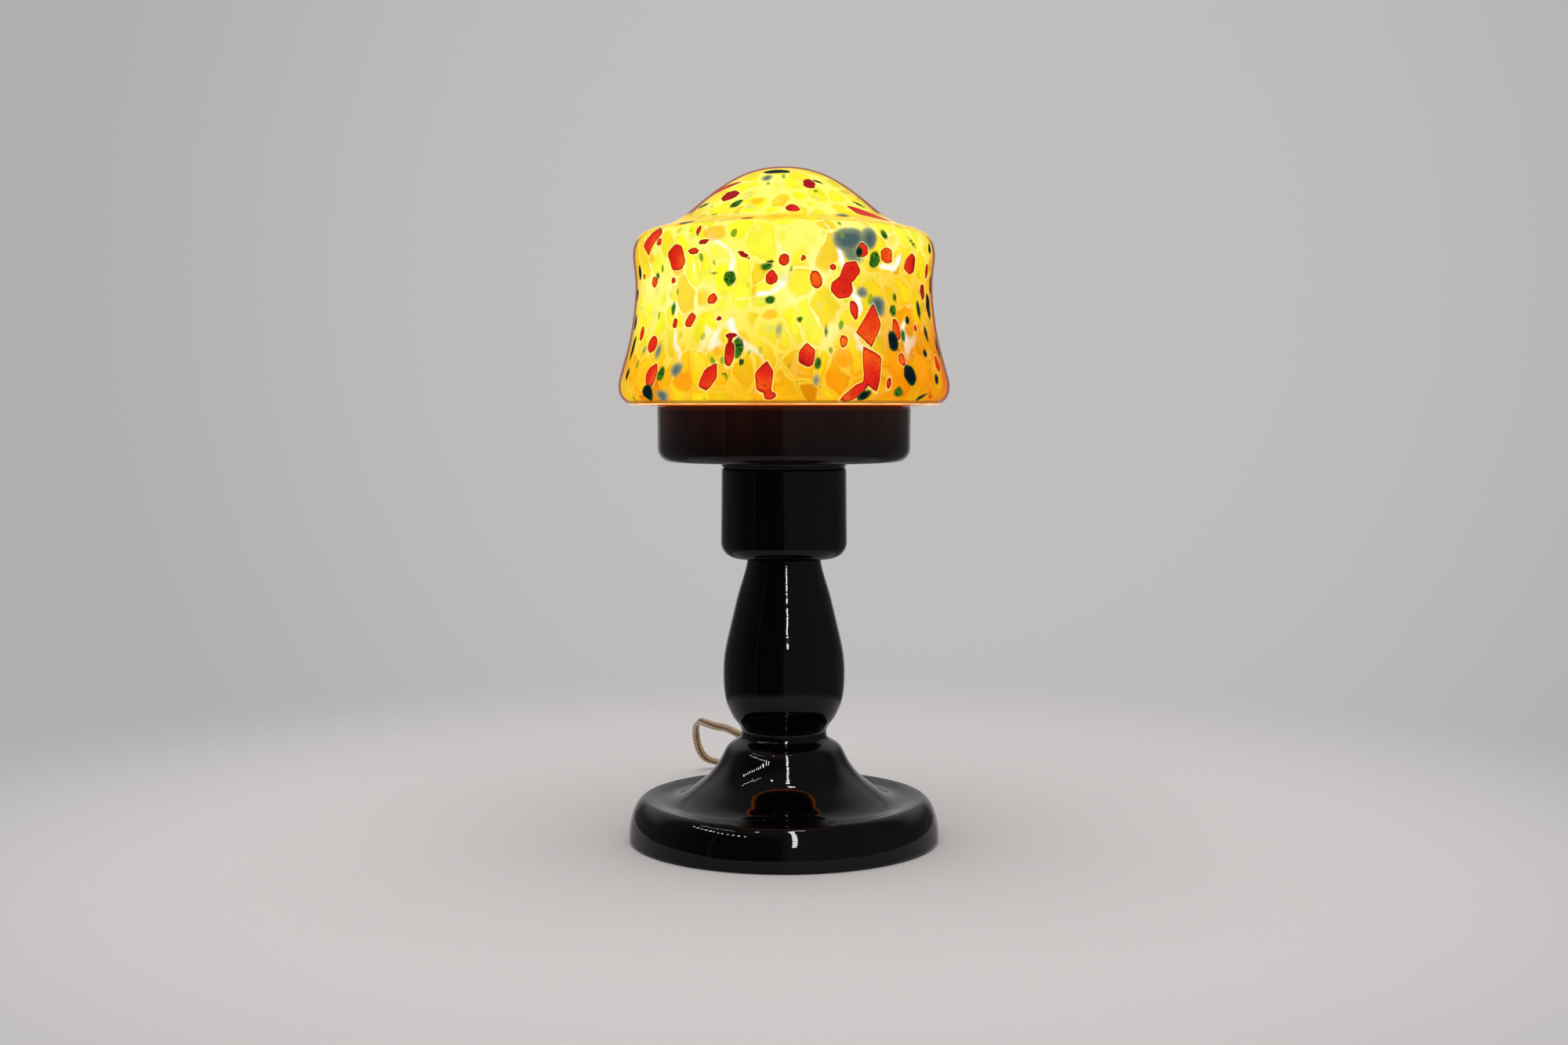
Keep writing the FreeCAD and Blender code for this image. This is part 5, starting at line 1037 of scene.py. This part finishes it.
lamp_points = [
    cord_exit,
    (0.0, 86.0, EXIT_HEIGHT),
    (-17.0, 103.0, 42.0),
    (-30.5, 118.0, 43.5),
    (-39.0, 146.0, 43.4),
    (-49.0, 167.0, 41.1),
    (-65.2, 203.1, 41.0),
    (-61.9, 223.5, 9.1),
    (-45.1, 233.2, 2.8),
    switch_entry - switch_way * 11.0,
    switch_entry,
]
lamp_leans = ((0.0, 0.0), (0.45, 0.0), (0.68, 55.0), (0.85, 40.0), (1.0, 90.0))
lamp_flex, lamp_line, lamp_length = flex("flex_to_switch", lamp_points, lamp_leans, 10)
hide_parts("cord_lamp_to_switch")

coil_reach = 1 / math.cos(math.pi / COIL_STEPS)
coil_start = coil_point(0) - coil_way(0) * CORD_WIDTH
coil_end = coil_point(COIL_TURNS) + coil_way(COIL_TURNS) * CORD_WIDTH
plug_points = [switch_leave, switch_leave + switch_way * 15.6, (coil_start[0], 183.0, COIL_LOW), coil_start]
for i in range(round(COIL_TURNS * COIL_STEPS) + 1):
    plug_points.append(coil_point(i / COIL_STEPS, coil_reach))
plug_points += [
    coil_end,
    (-8.2, 195.1, coil_end[2]),
    (8.4, 195.1, 14.2),
    (PLUG_ENTRY[0], 183.4, PLUG_ENTRY[2]),
    PLUG_ENTRY,
]
plug_leans = ((0.0, 90.0), (0.012, 85.0), (0.035, 0.0), (0.965, 0.0), (0.992, 90.0), (1.0, 90.0))
plug_flex, plug_line, plug_length = flex("flex_to_plug", plug_points, plug_leans, 5)
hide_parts("cord_switch_to_coil", "cord_coil", "cord_coil_to_plug")


# Stage: floor, light and camera

LIT_POINT = (0.0, 0.0, 0.15)
OVERHEAD_PLACE = (0.0, -0.2, 2.2)
OVERHEAD_SIZE = 2.4
OVERHEAD_POWER = 30.0

# Bright shapes that the glass reflects: azimuth and elevation in degrees, width and height in metres
GLINT_DISTANCE = 2.5
GLINT_RADIANCE = 32.0
GLINTS = (
    (-85.0, 52.0, 0.80, 0.012),
    (-64.0, 54.0, 0.60, 0.012),
    (22.0, 71.5, 0.36, 0.05),
    (-32.0, 60.0, 0.09, 0.09),
)

# Two rows of bright panes: how many, the first and last azimuth and elevation, and the size of each
PANE_ROWS = (
    (12, (-88.0, 41.0), (-34.0, 37.0), (0.05, 0.10)),
    (16, (7.0, 17.0), (9.0, 66.0), (0.13, 0.10)),
)


def stage_floor():
    mesh = bpy.data.meshes.new("floor")
    s = FLOOR_HALF_SIZE
    mesh.from_pydata([(-s, -s, 0.0), (s, -s, 0.0), (s, s, 0.0), (-s, s, 0.0)], [], [(0, 1, 2, 3)])
    made = bpy.data.materials.new("floor")
    made.use_nodes = True
    tree = made.node_tree
    tree.nodes.clear()
    coordinates = place(tree)
    distance = vector_calc(tree, "LENGTH", coordinates, output="Value")
    seen = add(tree, "ShaderNodeLightPath").outputs
    in_gloss = calc(tree, "MAXIMUM", seen["Is Glossy Ray"], seen["Is Transmission Ray"])
    fade = times(tree, step(tree, distance, *FLOOR_FADE), seen["Is Camera Ray"])
    thinning = step(tree, distance, *GLOSS_FADE, GLOSS_THIN, 1.0)
    paper = noise(tree, coordinates, 900.0, 3.0)
    matt = add(tree, "ShaderNodeBsdfDiffuse", {"Color": FLOOR_COLOUR, "Normal": bump(tree, paper, 0.00008)})
    clear = add(tree, "ShaderNodeBsdfTransparent")
    gone = calc(tree, "MAXIMUM", fade, times(tree, thinning, in_gloss))
    whole = add(tree, "ShaderNodeMixShader", {0: gone, 1: matt.outputs[0], 2: clear.outputs[0]})
    add(tree, "ShaderNodeOutputMaterial", {"Surface": whole.outputs[0]})
    mesh.materials.append(made)
    floor = in_scene("floor", mesh)


def room():
    """Pale grey for the camera and behind the lamp; to the front and sides its glass shows a dark room."""
    world = bpy.data.worlds.new("room")
    world.use_nodes = True
    bpy.context.scene.world = world
    tree = world.node_tree
    tree.nodes.clear()
    direction = add(tree, "ShaderNodeTexCoord").outputs["Generated"]
    rightward, backward, upward = parts(tree, direction)
    azimuth = calc(tree, "ARCTAN2", rightward, times(tree, backward, -1.0))
    around = calc(tree, "MULTIPLY_ADD", azimuth, 0.5 / math.pi, 0.5)
    stops = [((degrees + 180) / 360, (grey, grey, grey)) for degrees, grey in ROOM_GREYS]
    sides = ramp(tree, around, stops)
    sides = mixed(tree, step(tree, upward, *CEILING_UP), sides, CEILING)
    high_back = times(tree, step(tree, backward, *HIGH_WALL_BACK), step(tree, upward, *HIGH_WALL_UP))
    back = calc(tree, "MAXIMUM", high_back, step(tree, backward, *WALL_BACK))
    mirrored = mixed(tree, back, sides, WALL_COLOUR)
    bright_way = tuple(Vector(WALL_BRIGHT_WAY).normalized())
    nearness = vector_calc(tree, "DOT_PRODUCT", direction, bright_way, "Value")
    wall = mixed(tree, step(tree, nearness, 0.90, 1.0), WALL_COLOUR, WALL_BRIGHT)
    seen = add(tree, "ShaderNodeLightPath").outputs
    colour = mixed(tree, seen["Is Glossy Ray"], AMBIENT, mirrored)
    direct = calc(tree, "MAXIMUM", seen["Is Camera Ray"], seen["Is Transmission Ray"])
    colour = mixed(tree, direct, colour, wall)
    background = add(tree, "ShaderNodeBackground", {"Color": colour, "Strength": 1.0})
    add(tree, "ShaderNodeOutputWorld", {"Surface": background.outputs[0]})


def lamp(name, location, size, size_y, power, glint=False):
    """An area light that faces the middle of the lamp; a glint is only seen in what is glossy."""
    data = bpy.data.lights.new(name, "AREA")
    data.shape = "RECTANGLE"
    data.size = size
    data.size_y = size_y
    data.energy = power
    made = in_scene(name, data)
    made.location = location
    made.rotation_euler = (Vector(LIT_POINT) - Vector(location)).to_track_quat("-Z", "Y").to_euler()
    made.visible_glossy = glint
    made.visible_diffuse = not glint


def glint(name, azimuth, elevation, width, height):
    """A bright rectangle seen from the lamp at an azimuth right of the front and an elevation."""
    a = math.radians(azimuth)
    e = math.radians(elevation)
    flat = GLINT_DISTANCE * math.cos(e)
    location = (flat * math.sin(a), -flat * math.cos(a), LIT_POINT[2] + GLINT_DISTANCE * math.sin(e))
    lamp(name, location, width, height, math.pi * GLINT_RADIANCE * width * height, True)


def camera():
    data = bpy.data.cameras.new("camera")
    data.sensor_width = SENSOR_WIDTH
    data.lens = FOCAL_PIXELS / PHOTO_WIDTH * SENSOR_WIDTH
    data.shift_y = (HORIZON_ROW - PHOTO_HEIGHT / 2) / PHOTO_WIDTH
    made = in_scene("camera", data)
    made.location = (0.0, -CAMERA_DISTANCE, CAMERA_HEIGHT)
    made.rotation_euler = (math.pi / 2, 0.0, 0.0)
    bpy.context.scene.camera = made


stage_floor()
room()
camera()
lamp("overhead", OVERHEAD_PLACE, OVERHEAD_SIZE, OVERHEAD_SIZE, OVERHEAD_POWER)
for number, row in enumerate(GLINTS):
    glint(f"glint_{number}", *row)
for row, (count, first, last, size) in enumerate(PANE_ROWS):
    for azimuth, elevation in np.linspace(first, last, count):
        glint(f"pane_{row}_{azimuth:.0f}_{elevation:.0f}", float(azimuth), float(elevation), *size)
bpy.context.scene.view_settings.view_transform = "Standard"
